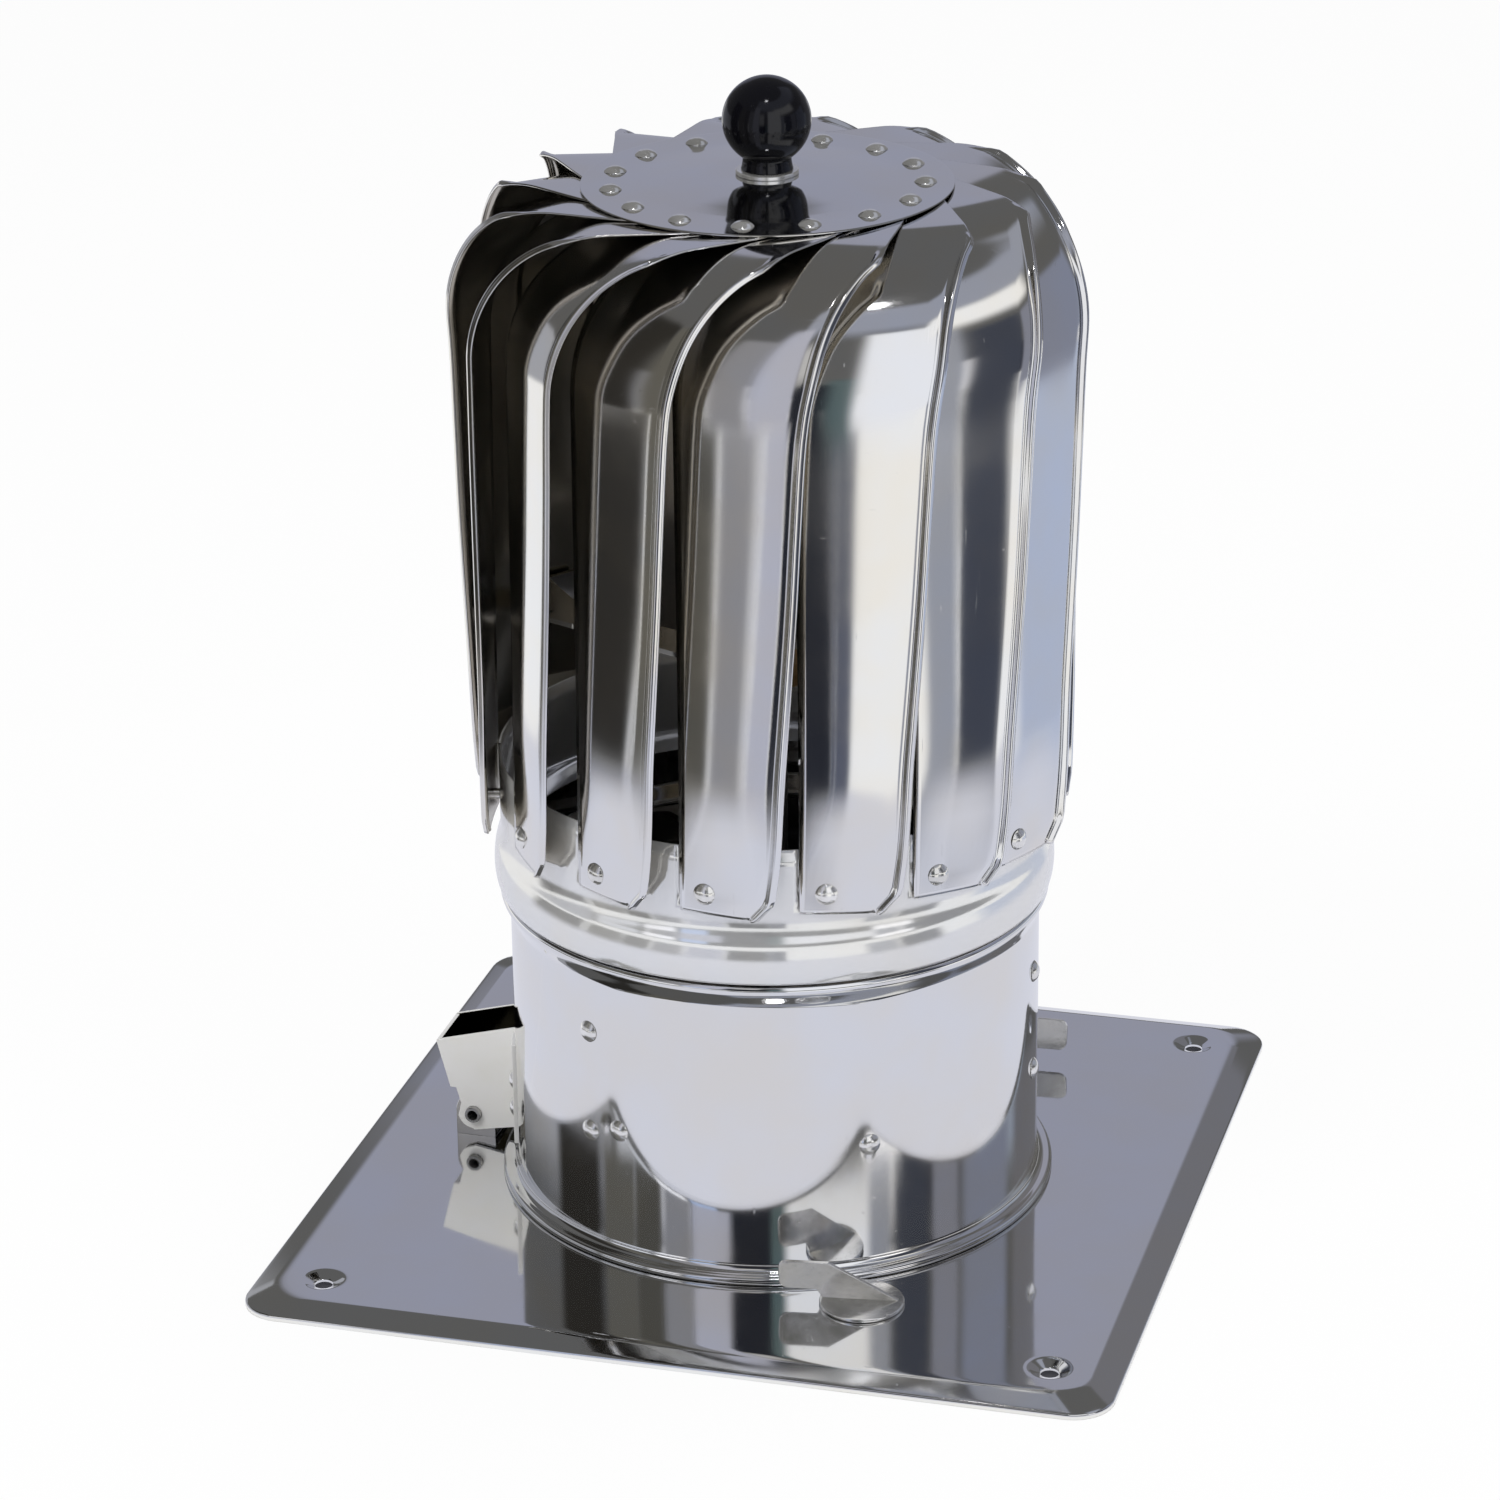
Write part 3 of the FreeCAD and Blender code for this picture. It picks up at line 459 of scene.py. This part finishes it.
# Blades: fifteen like strips of polished sheet, pressed to a long bow with a slight camber, a
# bead rolled along the free edge and the root bent over under the top disc.
blade_face = 77.6
bend_r = 39.0
bend_x = blade_face - bend_r
crown_z = 299.395
bend_z = crown_z - bend_r
tip_x = 12.0
flat_run = bend_x - tip_x
bend_run = bend_r * math.pi / 2
blade_low = 118.5
foot_lean = 1.8 / (bend_z - blade_low)
blade_tilt = math.radians(3.5)
inner_edge = [(0, 33.0), (8, 32.5), (19, 31.0), (24, 25.0), (28.5, 15.5), (34, 12.2), (42, 9.4), (53, 7.0), (64, 4.8)]
inner_edge += [(74, 4.0), (100, 4.0), (141.6, 4.2), (170, 4.3), (198, 4.3), (232, 4.3)]
outer_edge = [(0, 45.6), (8, 47.5), (24, 50.2), (38.7, 52.3), (47, 49.6), (57.2, 46.8), (66, 45.0), (76.3, 43.5), (92.7, 41.0)]
outer_edge += [(118, 39.3), (143.4, 37.8), (185, 34.6), (226, 31.2), (231.5, 26.2)]


def edge_at(stations, run):
    """Side offset of an edge at a distance along the blade, smooth through its stations."""
    for k in range(len(stations) - 1):
        if run <= stations[k + 1][0] or k == len(stations) - 2:
            break
    x0, y0 = stations[max(k - 1, 0)]
    x1, y1 = stations[k]
    x2, y2 = stations[k + 1]
    x3, y3 = stations[min(k + 2, len(stations) - 1)]
    t = min(max((run - x1) / (x2 - x1), 0.0), 1.0)
    m1 = (y2 - y0) / (x2 - x0) * (x2 - x1)
    m2 = (y3 - y1) / (x3 - x1) * (x2 - x1)
    if k == len(stations) - 2:
        m1 = m2 = y2 - y1
    h = 3 * t ** 2 - 2 * t ** 3
    return y1 * (1 - h) + y2 * h + m1 * (t ** 3 - 2 * t ** 2 + t) + m2 * (t ** 3 - t ** 2)


def smooth(low, high, value):
    t = min(max((value - low) / (high - low), 0.0), 1.0)
    return t * t * (3 - 2 * t)


def blade_spot(run, side, lift):
    """Point of a blade: distance from its tip down the leaning bow, side offset, height off the face."""
    if run <= flat_run:
        x, z, nx, nz = tip_x + run, crown_z, 0.0, 1.0
    elif run <= flat_run + bend_run:
        angle = (run - flat_run) / bend_r
        nx, nz = math.sin(angle), math.cos(angle)
        x, z = bend_x + bend_r * nx, bend_z + bend_r * nz
    else:
        drop = run - flat_run - bend_run
        x, z, nx, nz = blade_face + foot_lean * drop, bend_z - drop, 1.0, 0.0
    x += nx * lift
    z += nz * lift - crown_z
    return x, side, side * math.tan(blade_tilt) + z / math.cos(blade_tilt) + crown_z


bead = [(0.0, 0.10), (0.35, 0.30), (0.6, 0.75), (0.95, 1.10), (1.4, 1.25), (1.85, 1.10), (2.2, 0.70), (2.5, 0.20), (2.85, -0.12)]
bead += [(3.3, -0.22), (3.8, -0.12), (4.4, 0.0)]


def blade_rows(number):
    """Grid of points over one blade, row by row from tip to foot."""
    runs = [flat_run * k / 6 for k in range(6)] + [flat_run + bend_run * k / 26 for k in range(26)]
    end = flat_run + bend_run + bend_z - blade_low
    start = flat_run + bend_run
    runs += [start + (end - start) * k / 26 for k in range(24)] + [end - 7.5, end - 5.0, end - 3.6, end - 2.4, end - 1.2, end]
    rows = []
    for run in runs:
        shear = smooth(start, end, run) * math.sin(blade_tilt)
        inner = edge_at(inner_edge, run + shear * edge_at(inner_edge, run))
        outer = edge_at(outer_edge, run + shear * edge_at(outer_edge, run))
        hem = smooth(34.0, 42.0, run)
        reach = outer + 1.3 * hem
        camber = 1.6 * smooth(34.0, 70.0, run) * (1 - 0.75 * smooth(190.0, 222.0, run))
        sway = 0.35 * math.sin(2.1 * number + run / 45.0) * smooth(60.0, 120.0, run) * (1 - smooth(180.0, 215.0, run))
        row = []
        columns = [(reach - d, lift * hem) for d, lift in bead]
        sheet_edge = columns[-1][0]
        for n in range(1, 13):
            columns.append((sheet_edge + (inner - sheet_edge) * n / 12, 0.0))
        middle = 0.5 * (inner + reach)
        half = 0.5 * (reach - inner)
        for side, lift in columns:
            bow = camber * (1 - ((side - middle) / half) ** 2)
            twist = sway * (side - inner) / (reach - inner)
            row.append(blade_spot(run + shear * side, side, lift + bow + twist))
        rows.append(row)
    return rows


def blade_steel():
    """Mirror sheet that was pressed: long soft waves down the blade."""
    finish = polished_steel("mirror_blade", 0.0008, (24.0, 24.0, 5.5), 0.075, warm=0.7)
    return finish


blade_finish = blade_steel()
# The blades' inner faces get a darker, warmer steel colour in patches: painted shade inside the cowl and painted warm
# inter-reflection.
blade_back = Finish("blade_inside", {"Metallic": 1.0})
inside_shade_patches = blade_back.clouds(1.0, 2.0, 0.5, blade_back.stretched((16.0, 16.0, 5.0)))
blade_back.feed("Base Color", blade_back.blend(blade_back.between(inside_shade_patches, 0.35, 0.65), (0.44, 0.41, 0.35, 1.0), (0.60, 0.56, 0.49, 1.0)))
blade_back.feed("Roughness", blade_back.between(inside_shade_patches, 0.35, 0.65, 0.17, 0.24))
blade_back.relief(0.0002 * blade_back.clouds(1.0, 1.5, 0.4, blade_back.stretched((22.0, 22.0, 5.0))))
for number in range(15):
    rows = blade_rows(number)
    turn = Matrix.Rotation(math.radians(first_blade + pitch * number), 4, "Z")
    width = len(rows[0])
    points = [tuple(turn @ Vector(spot)) for row in rows for spot in row]
    faces = []
    for i in range(len(rows) - 1):
        for j in range(width - 1):
            a = i * width + j
            faces.append((a, a + 1, a + width + 1, a + width))
    name = "blade_%02d" % (number + 1)
    blade = piece(name + "_sheet", points, faces, "turbine", blade_finish, [name], sharp=60, closed=False)
    thicken(blade, 0.5, blade_back)

foot_face = blade_face + foot_lean * (bend_z - 124.0) + 0.35
foot_places = []
tip_places = []
for number in range(15):
    turn = Matrix.Rotation(math.radians(first_blade + pitch * number), 4, "Z")
    foot_places.append(turn @ Matrix.Translation((foot_face, 11.7, 124.0)) @ Matrix.Rotation(math.radians(90), 4, "Y"))
    lead = Matrix.Rotation(math.radians(first_blade + pitch * number + 61.3), 4, "Z")
    tip_places.append(lead @ Matrix.Translation((43.4, 0, 303.0)))
rivets("foot_rivet_heads", "foot_rivets", "turbine", 2.0, foot_places)
rivets("disc_rivet_heads", "disc_rivets", "turbine", 1.8, tip_places)


# Top disc: a round of the same polished sheet, flat where it lies over the blades' roots and
# pressed up in a shallow cone to a flat middle that takes the knob.
disc_steel = polished_steel("mirror_disc", 0.0005, (16.0, 16.0, 16.0), 0.05, warm=0.5)
disc_top = [(3.9, 305.4), (12.0, 305.4), (15.6, 305.37), (18.6, 305.15), (24.0, 304.6), (30.0, 303.92)]
disc_top += [(35.4, 303.28), (38.6, 303.03), (41.0, 303.0), (46.0, 303.0), (50.4, 303.0), (51.2, 302.98), (51.4, 302.85)]
disc_under = [(51.4, 302.6), (51.2, 302.4), (38.6, 302.4), (35.4, 302.68), (18.6, 304.5), (15.6, 304.75), (3.9, 304.8)]
points, faces = lathe(disc_top + disc_under, 240, closed=True)
top_disc = piece("top_disc_sheet", points, faces, "turbine", disc_steel, ["top_disc"])
even_shading(top_disc)


# Ball knob: moulded black plastic with a short flared foot, screwed down on a stud over a bright
# washer that stands on the disc's raised middle.
knob_black = Finish("knob_black", {"Base Color": (0.003, 0.003, 0.005, 1.0), "IOR": 1.45})
wipe = knob_black.clouds(70.0, 3.0, 0.6)
specks = knob_black.clouds(900.0, 1.0, 0.5)
knob_black.feed("Roughness", knob_black.between(wipe, 0.35, 0.7, 0.07, 0.16) + 0.1 * knob_black.between(specks, 0.70, 0.76))
knob_black.relief(0.00004 * knob_black.clouds(60.0, 1.0, 0.4))
ball_z = 306.6 + 3.4 + math.sqrt(12.3 ** 2 - 6.7 ** 2)
knob_path = [(3.9, 306.6), (6.9, 306.6), (7.2, 306.85), (7.0, 307.6), (6.8, 308.8), (6.75, 309.6)]
knob_path += arc(0, ball_z, 12.3, -56.0, 90, 34)
knob_path[-1] = (0.0, ball_z + 12.3)
points, faces = lathe(knob_path, 96)
knob = piece("ball_knob_moulding", points, faces, "turbine", knob_black, ["ball_knob"], closed=False)
washer_path = [(4.1, 305.4), (8.5, 305.4), (8.75, 305.6), (8.75, 306.4), (8.5, 306.6), (4.1, 306.6)]
washer_steel = satin_steel("washer_steel", 0.92, 0.12, 0.03, 0.75)
points, faces = lathe(washer_path, 72, closed=True)
piece("knob_washer_ring", points, faces, "turbine", washer_steel, ["knob_washer"], sharp=30)


# Hinge: a hat-section bracket folded from polished sheet, riveted to the collar, whose ears stand
# outside the ears of a small leaf on the plate, with a rolled spring pin through all four.
hinge_steel = polished_steel("hinge_sheet", 0.0003, (30.0, 30.0, 30.0), 0.06, warm=0.8)
# The polished bracket is drawn as nearly white, mostly non-metallic sheet that the lamps light: a painted reflection
# of the white floor, in patches.
bracket_painted_reflection = Finish("bracket_sheet_painted_reflection", {"Metallic": 0.12, "IOR": 1.5})
reflection_patches = bracket_painted_reflection.clouds(60.0, 3.0, 0.6)
bracket_painted_reflection.feed("Base Color", bracket_painted_reflection.blend(bracket_painted_reflection.between(reflection_patches, 0.3, 0.7), (0.97, 0.96, 0.91, 1.0), (0.99, 0.98, 0.96, 1.0)))
bracket_painted_reflection.feed("Roughness", bracket_painted_reflection.between(reflection_patches, 0.3, 0.7, 0.10, 0.20))
bracket_painted_reflection.relief(0.00002 * reflection_patches)
# Darker, browner steel for the faces inside the bracket's hat section: painted shade in the hollow, in patches.
hollow_painted_shade = Finish("bracket_hollow_painted_shade", {"Metallic": 1.0})
hollow_shade_patches = hollow_painted_shade.clouds(45.0, 2.0, 0.5)
hollow_painted_shade.feed("Base Color", hollow_painted_shade.blend(hollow_painted_shade.between(hollow_shade_patches, 0.35, 0.65), (0.16, 0.15, 0.11, 1.0), (0.40, 0.38, 0.31, 1.0)))
hollow_painted_shade.feed("Roughness", hollow_painted_shade.between(hollow_shade_patches, 0.3, 0.7, 0.10, 0.22))
hollow_painted_shade.relief(0.00003 * hollow_shade_patches)
pin_x = -91.0
pin_z = 12.0


def hole_in(outline, x, z, radius, low, high):
    """A flat plate with a round hole, between two distances along Y."""
    ring = [(x + radius * math.cos(0.2 * math.pi * k / 2), z + radius * math.sin(0.2 * math.pi * k / 2)) for k in range(20)]
    flat_points, flat_faces = fill_between([[(px, pz, 0.0) for px, pz in outline], [(px, pz, 0.0) for px, pz in ring]])
    points = [(px, low, pz) for px, pz, _ in flat_points] + [(px, high, pz) for px, pz, _ in flat_points]
    size = len(flat_points)
    faces = [tuple(face) for face in flat_faces] + [tuple(size + corner for corner in face[::-1]) for face in flat_faces]
    start = 0
    for loop in (outline, ring):
        count = len(loop)
        for k in range(count):
            n = start + (k + 1) % count
            faces.append((start + k, size + start + k, size + n, n))
        start += count
    return points, faces


ear = [(-75.9, 42.0), (-102.0, 35.0), (-98.04, 20.0), (-96.34, 20.0), (-94.9, 15.12)]
ear += arc(pin_x, pin_z, 5.0, 175, 262, 10)[2:] + [(pin_x, 6.6), (-75.9, 9.4)]
web = [(-102.0, 35.0), (-98.04, 20.0), (-96.84, 20.0), (-100.8, 35.0)]
bracket_parts = [plate_of(web, -9.4, 9.4)]
for side in (-1, 1):
    near, far = sorted((side * 8.8, side * 10.0))
    bracket_parts.append(hole_in(ear, pin_x, pin_z, 2.47, near, far))
    loops = []
    for k in range(13):
        spread = math.asin(9.4 / 77.1) + (math.asin(22.0 / 77.1) - math.asin(9.4 / 77.1)) * k / 12
        x, y = -math.cos(spread), side * math.sin(spread)
        loops.append([(76.5 * x, 76.5 * y, 10.0), (77.7 * x, 77.7 * y, 10.0), (77.7 * x, 77.7 * y, 42.0), (76.5 * x, 76.5 * y, 42.0)])
    points, faces = skin(loops)
    faces += [(0, 1, 2, 3), (51, 50, 49, 48)]
    bracket_parts.append((points, faces))
points, faces = together(bracket_parts)
bracket = piece("hinge_bracket_sheet", points, faces, "cowl_body", bracket_painted_reflection, ["hinge_bracket"], sharp=30)
soften(bracket, 0.16)
bracket.data.materials.append(hollow_painted_shade.material)
# Faces inside the hat section take the painted shade finish.
for face in bracket.data.polygons:
    x, y, _ = face.center * 1000
    if abs(y) < 8.95 and (face.normal.y * y < -0.5 * abs(y) or (face.normal.x > 0.5 and x < -96)):
        face.material_index = 1
leaf_ear = [(-97.0, 4.0), (-85.0, 4.0)] + arc(pin_x, pin_z, 6.0, 0, 180, 18)
leaf_parts = [hole_in(leaf_ear, pin_x, pin_z, 2.5, 7.2, 8.4), hole_in(leaf_ear, pin_x, pin_z, 2.5, -8.4, -7.2)]
leaf_parts.append(plate_of([(-97.0, 4.0), (-85.0, 4.0), (-85.0, 5.2), (-97.0, 5.2)], -7.8, 7.8))
points, faces = together(leaf_parts)
leaf = piece("hinge_leaf_sheet", points, faces, "base", hinge_steel, ["hinge_leaf"], sharp=30)
soften(leaf, 0.16)
pin_steel = satin_steel("pin_steel", 0.50, 0.20, 0.05)
pin_path = [(1.5, -11.3), (1.6, -11.5), (2.3, -11.5), (2.45, -11.3), (2.45, 11.3), (2.3, 11.5), (1.6, 11.5), (1.5, 11.3)]
across = Matrix.Translation((pin_x, 0, pin_z)) @ Matrix.Rotation(math.radians(90), 4, "X")
points, faces = placed(lathe(pin_path, 40, closed=True), across)
piece("hinge_pin_tube", points, faces, "cowl_body", pin_steel, ["hinge_pin"], sharp=30)


# Plain parts carried over as they are: carrier, axle and bearings, each in its own metal or
# plastic with handling marks.
zinc_steel = satin_steel("plated_steel", 0.62, 0.28, 0.08)
bronze = Finish("oiled_bronze", {"Metallic": 1.0})
bronze.feed("Base Color", bronze.blend(bronze.clouds(300.0, 3.0, 0.6), (0.42, 0.26, 0.11, 1), (0.62, 0.42, 0.20, 1)))
bronze.feed("Roughness", bronze.between(bronze.clouds(500.0), 0.3, 0.7, 0.30, 0.48))
bronze.relief(0.00002 * bronze.clouds(1200.0))
alloy = Finish("turned_alloy", {"Metallic": 1.0})
alloy.feed("Base Color", alloy.blend(alloy.clouds(120.0, 3.0), (0.50, 0.51, 0.52, 1), (0.62, 0.62, 0.63, 1)))
alloy.feed("Roughness", alloy.between(alloy.clouds(60.0), 0.3, 0.7, 0.30, 0.42))
alloy.relief(0.000012 * alloy.clouds(1.0, 1.0, 0.5, alloy.stretched((1.0, 1.0, 3000.0))))
slide = Finish("slide_plastic", {"IOR": 1.46})
slide.feed("Base Color", slide.blend(slide.clouds(200.0), (0.70, 0.69, 0.65, 1), (0.80, 0.79, 0.75, 1)))
slide.feed("Roughness", slide.between(slide.clouds(400.0), 0.3, 0.7, 0.45, 0.6))
finishes = {
    "turbine_spider": hinge_steel, "axle_carrier": zinc_steel, "guide_lugs": hinge_steel,
    "hub_bush": bronze, "spider_bush": bronze, "bearing_hub": alloy, "thrust_pad": slide,
}
for node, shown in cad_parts.items():
    shown.data.materials.clear()
    shown.data.materials.append(finishes.get(node, zinc_steel).material)


# Studio: a plain white floor, soft lamps, and cards round the object that the camera doesn't see,
# which give the polished sheet something to mirror.
def shown_white(name, own, glow):
    """Stage finish that reads white to the eye and in reflections and keeps soft shadows."""
    finish = Finish(name, {"Base Color": own, "Roughness": 0.9})
    rays = finish.tree.nodes.new("ShaderNodeLightPath")
    seen = Value(finish, rays.outputs["Is Camera Ray"]) + Value(finish, rays.outputs["Is Glossy Ray"])
    seen = seen + Value(finish, rays.outputs["Is Transmission Ray"])
    light = finish.node("ShaderNodeEmission", {}, {"Color": (1, 1, 1, 1), "Strength": 1.0})
    share = finish.node("ShaderNodeMath", {"operation": "MINIMUM"}, {0: seen, 1: 1.0}) * glow
    plain = Value(finish, finish.shader.outputs[0])
    joined = finish.node("ShaderNodeMixShader", {}, {0: share, 1: plain, 2: light})
    output = finish.tree.nodes["Material Output"]
    finish.tree.links.new(joined.socket, output.inputs["Surface"])
    return finish


floor_mesh = bpy.data.meshes.new("floor")
floor_mesh.from_pydata([(-6, -6, 0), (6, -6, 0), (6, 6, 0), (-6, 6, 0)], [], [(0, 1, 2, 3)])
floor_mesh.materials.append(shown_white("floor_white", (0.90, 0.90, 0.90, 1.0), 0.92).material)
floor = bpy.data.objects.new("floor", floor_mesh)
bpy.context.collection.objects.link(floor)

# A dark square lies on the floor under the plate as painted shade, which shows through the screw holes and the flue.
shade_half = 0.118
shade_mesh = bpy.data.meshes.new("under_plate_painted_shade")
shade_corners = [(-1, -1), (1, -1), (1, 1), (-1, 1)]
shade_mesh.from_pydata([(x * shade_half, y * shade_half, 0.0004) for x, y in shade_corners], [], [(0, 1, 2, 3)])
painted_floor_shade = Finish("floor_in_shade", {"Roughness": 0.9})
painted_floor_shade.feed("Base Color", painted_floor_shade.blend(painted_floor_shade.clouds(30.0), (0.035, 0.035, 0.04, 1), (0.06, 0.06, 0.065, 1)))
shade_mesh.materials.append(painted_floor_shade.material)
shade = bpy.data.objects.new("under_plate_painted_shade", shade_mesh)
bpy.context.collection.objects.link(shade)


def card(name, start, end, low, high, colour, near=0.42, far=0.42, edge=0.20, ends=0.1, foot=None):
    """Curved card round the object between two azimuths, seen only in reflections, with soft ends."""
    steps = 10
    points = []
    for k in range(steps + 1):
        turn = math.radians(start + (end - start) * k / steps)
        for radius, height in ((near, low), (far, high)):
            points.append((radius * math.cos(turn), radius * math.sin(turn), height))
    mesh = bpy.data.meshes.new(name)
    mesh.from_pydata(points, [], [(2 * k, 2 * k + 2, 2 * k + 3, 2 * k + 1) for k in range(steps)])
    spread = mesh.uv_layers.new(name="spread")
    for corner, spot in enumerate(mesh.loops):
        spread.data[corner].uv = (spot.vertex_index // 2 / steps, spot.vertex_index % 2)
    finish = Finish(name, {})
    parts = finish.tree.nodes.new("ShaderNodeSeparateXYZ")
    finish.tree.links.new(finish.node("ShaderNodeTexCoord", {}, {}, "UV").socket, parts.inputs[0])
    across = Value(finish, parts.outputs["X"])
    up = Value(finish, parts.outputs["Y"])
    mask = finish.between(across, 0.0, edge) * finish.between(across, 1.0 - edge, 1.0, 1.0, 0.0)
    mask = mask * finish.between(up, 0.0, foot or ends) * finish.between(up, 1.0 - ends, 1.0, 1.0, 0.0)
    clear = finish.node("ShaderNodeBsdfTransparent", {}, {})
    light = finish.node("ShaderNodeEmission", {}, {"Color": (*colour, 1.0), "Strength": 1.0})
    joined = finish.node("ShaderNodeMixShader", {}, {0: mask, 1: clear, 2: light})
    finish.tree.links.new(joined.socket, finish.tree.nodes["Material Output"].inputs["Surface"])
    mesh.materials.append(finish.material)
    made = bpy.data.objects.new(name, mesh)
    bpy.context.collection.objects.link(made)
    made.visible_camera = False
    made.visible_diffuse = False
    made.visible_shadow = False
    made.visible_transmission = False
    return made


# Cards laid on the floor: the collar sees the near ring, the blades see the strips beyond it.
card("floor_near", -180, 180, 0.001, 0.001, (0.74, 0.75, 0.83), near=0.10, far=0.46, edge=0.0001, ends=0.1)
flat = {"near": 0.33, "far": 0.98, "ends": 0.2}
card("floor_umber", -182, -148, 0.002, 0.002, (0.030, 0.028, 0.025), **flat)
card("floor_olive", -152, -132, 0.002, 0.002, (0.13, 0.125, 0.11), **flat)
card("floor_brown", -136, -121, 0.002, 0.002, (0.09, 0.086, 0.075), **flat)
card("floor_grey", -125, -107, 0.002, 0.002, (0.28, 0.28, 0.30), edge=0.3, **flat)
card("floor_lavender", -112, -92, 0.002, 0.002, (0.50, 0.51, 0.60), edge=0.2, **flat)
card("floor_black", -95, -76, 0.002, 0.002, (0.02, 0.022, 0.03), edge=0.15, **flat)
card("floor_slate", -79, -70, 0.002, 0.002, (0.10, 0.11, 0.15), **flat)
card("floor_mid", -43, -27, 0.002, 0.002, (0.34, 0.36, 0.42), edge=0.25, **flat)
card("floor_ink", -32, -8, 0.002, 0.002, (0.055, 0.062, 0.085), edge=0.25, **flat)
card("floor_blue", 2, 66, 0.002, 0.002, (0.48, 0.54, 0.70), **flat)

# Far upright cards, which the collar's foot and the plate see.
far = {"near": 0.75, "far": 0.75}
card("back_lavender", 78, 132, 0.08, 0.78, (0.33, 0.34, 0.42), near=0.80, far=0.80)
card("far_grey", 134, 214, 0.05, 0.36, (0.40, 0.41, 0.45), edge=0.05, **far)
card("far_pale", -148, -125, 0.10, 0.36, (0.72, 0.74, 0.80), **far)
card("far_white", -127, -111, 0.10, 0.36, (1.20, 1.20, 1.25), **far)
card("far_sky", -112, -99, 0.10, 0.36, (0.50, 0.62, 0.90), **far)
card("far_black", -99, -72, 0.10, 0.36, (0.03, 0.03, 0.035), **far)
card("far_dark", -60, -47, 0.10, 0.36, (0.04, 0.042, 0.05), **far)
card("far_bright", -40, -20, 0.10, 0.36, (1.40, 1.40, 1.45), **far)
card("far_ink", -20, 12, 0.10, 0.36, (0.03, 0.03, 0.04), **far)
card("far_blue", 12, 60, 0.10, 0.36, (0.34, 0.38, 0.46), **far)

# Near upright cards, which the upper half of the blades sees.
card("left_umber", -182, -148, 0.142, 0.60, (0.030, 0.028, 0.025), foot=0.03)
card("left_olive", -152, -132, 0.142, 0.60, (0.13, 0.125, 0.11), foot=0.03)
card("left_brown", -136, -121, 0.142, 0.60, (0.09, 0.086, 0.075), foot=0.03)
card("left_grey", -125, -107, 0.142, 0.60, (0.28, 0.28, 0.30), edge=0.3, foot=0.03)
card("left_lavender", -112, -92, 0.142, 0.75, (0.50, 0.51, 0.60), edge=0.2, foot=0.03)
card("front_black", -95, -76, 0.142, 0.32, (0.02, 0.022, 0.03), edge=0.15, ends=0.15, foot=0.03)
card("front_cream", -95, -80, 0.26, 0.60, (0.55, 0.55, 0.56), ends=0.35)
card("front_slate", -79, -70, 0.142, 0.34, (0.10, 0.142, 0.15), foot=0.03)
card("right_white", -74, -36, 0.142, 0.62, (0.95, 0.96, 1.00), edge=0.12, ends=0.05, foot=0.03)
card("right_mid", -43, -27, 0.142, 0.50, (0.34, 0.36, 0.42), edge=0.25, foot=0.03)
card("right_slate", -31, -8, 0.142, 0.46, (0.055, 0.062, 0.085), edge=0.25, foot=0.03)
card("right_pale", -11, 6, 0.142, 0.46, (0.25, 0.26, 0.32), foot=0.03)
card("right_blue", 3, 42, 0.142, 0.46, (0.24, 0.26, 0.34), foot=0.03)
card("right_grey", 40, 82, 0.142, 0.46, (0.18, 0.18, 0.20), foot=0.03)
card("right_band", -60, 14, 0.46, 0.68, (1.0, 1.0, 1.0), ends=0.3)
card("crown_grey", -112, 70, 0.56, 1.15, (0.34, 0.36, 0.43), near=0.43, far=0.43, edge=0.06, ends=0.25)
card("knob_glint", -82, -68, 0.86, 0.97, (22.0, 22.0, 23.0), near=0.30, far=0.30, edge=0.15, ends=0.15)

world = bpy.data.worlds.new("studio")
bpy.context.scene.world = world
world.use_nodes = True
tree = world.node_tree
rays = tree.nodes.new("ShaderNodeLightPath")
level = tree.nodes.new("ShaderNodeMix")
level.inputs[2].default_value = 0.55
level.inputs[3].default_value = 0.12
tree.links.new(rays.outputs["Is Glossy Ray"], level.inputs[0])
reads = tree.nodes.new("ShaderNodeMix")
tree.links.new(rays.outputs["Is Camera Ray"], reads.inputs[0])
tree.links.new(level.outputs[0], reads.inputs[2])
reads.inputs[3].default_value = 1.0
background = tree.nodes["Background"]
background.inputs["Color"].default_value = (1, 1, 1, 1)
tree.links.new(reads.outputs[0], background.inputs["Strength"])


def lamp(name, place, aim, size, power):
    """Square soft lamp."""
    light = bpy.data.lights.new(name, "AREA")
    light.size = size
    light.energy = power
    made = bpy.data.objects.new(name, light)
    bpy.context.collection.objects.link(made)
    made.location = place
    made.rotation_euler = (Vector(aim) - Vector(place)).to_track_quat("-Z", "Y").to_euler()
    made.visible_glossy = False
    return made


lamp("key_lamp", (-0.9, -1.3, 1.9), (0, 0, 0.15), 0.7, 16.0)
lamp("fill_lamp", (1.5, -0.7, 1.2), (0, 0, 0.15), 0.8, 8.0)
lamp("top_lamp", (0.2, 0.6, 2.1), (0, 0, 0.2), 0.9, 10.0)

azimuth = math.radians(15.528)
elevation = math.radians(22.484)
roll = math.radians(-0.713)
right = Vector((math.cos(azimuth), math.sin(azimuth), 0))
back = Vector((math.sin(azimuth) * math.cos(elevation), -math.cos(azimuth) * math.cos(elevation), math.sin(elevation)))
up = back.cross(right)
tilted = math.cos(roll) * right + math.sin(roll) * up
upright = -math.sin(roll) * right + math.cos(roll) * up
view = bpy.data.cameras.new("camera")
view.lens = 124.96
view.sensor_width = 36.0
camera = bpy.data.objects.new("camera", view)
bpy.context.collection.objects.link(camera)
camera.matrix_world = Matrix((
    (tilted.x, upright.x, back.x, 0.3626),
    (tilted.y, upright.y, back.y, -1.3300),
    (tilted.z, upright.z, back.z, 0.7048),
    (0, 0, 0, 1),
))
bpy.context.scene.camera = camera
bpy.context.scene.view_settings.view_transform = "Standard"
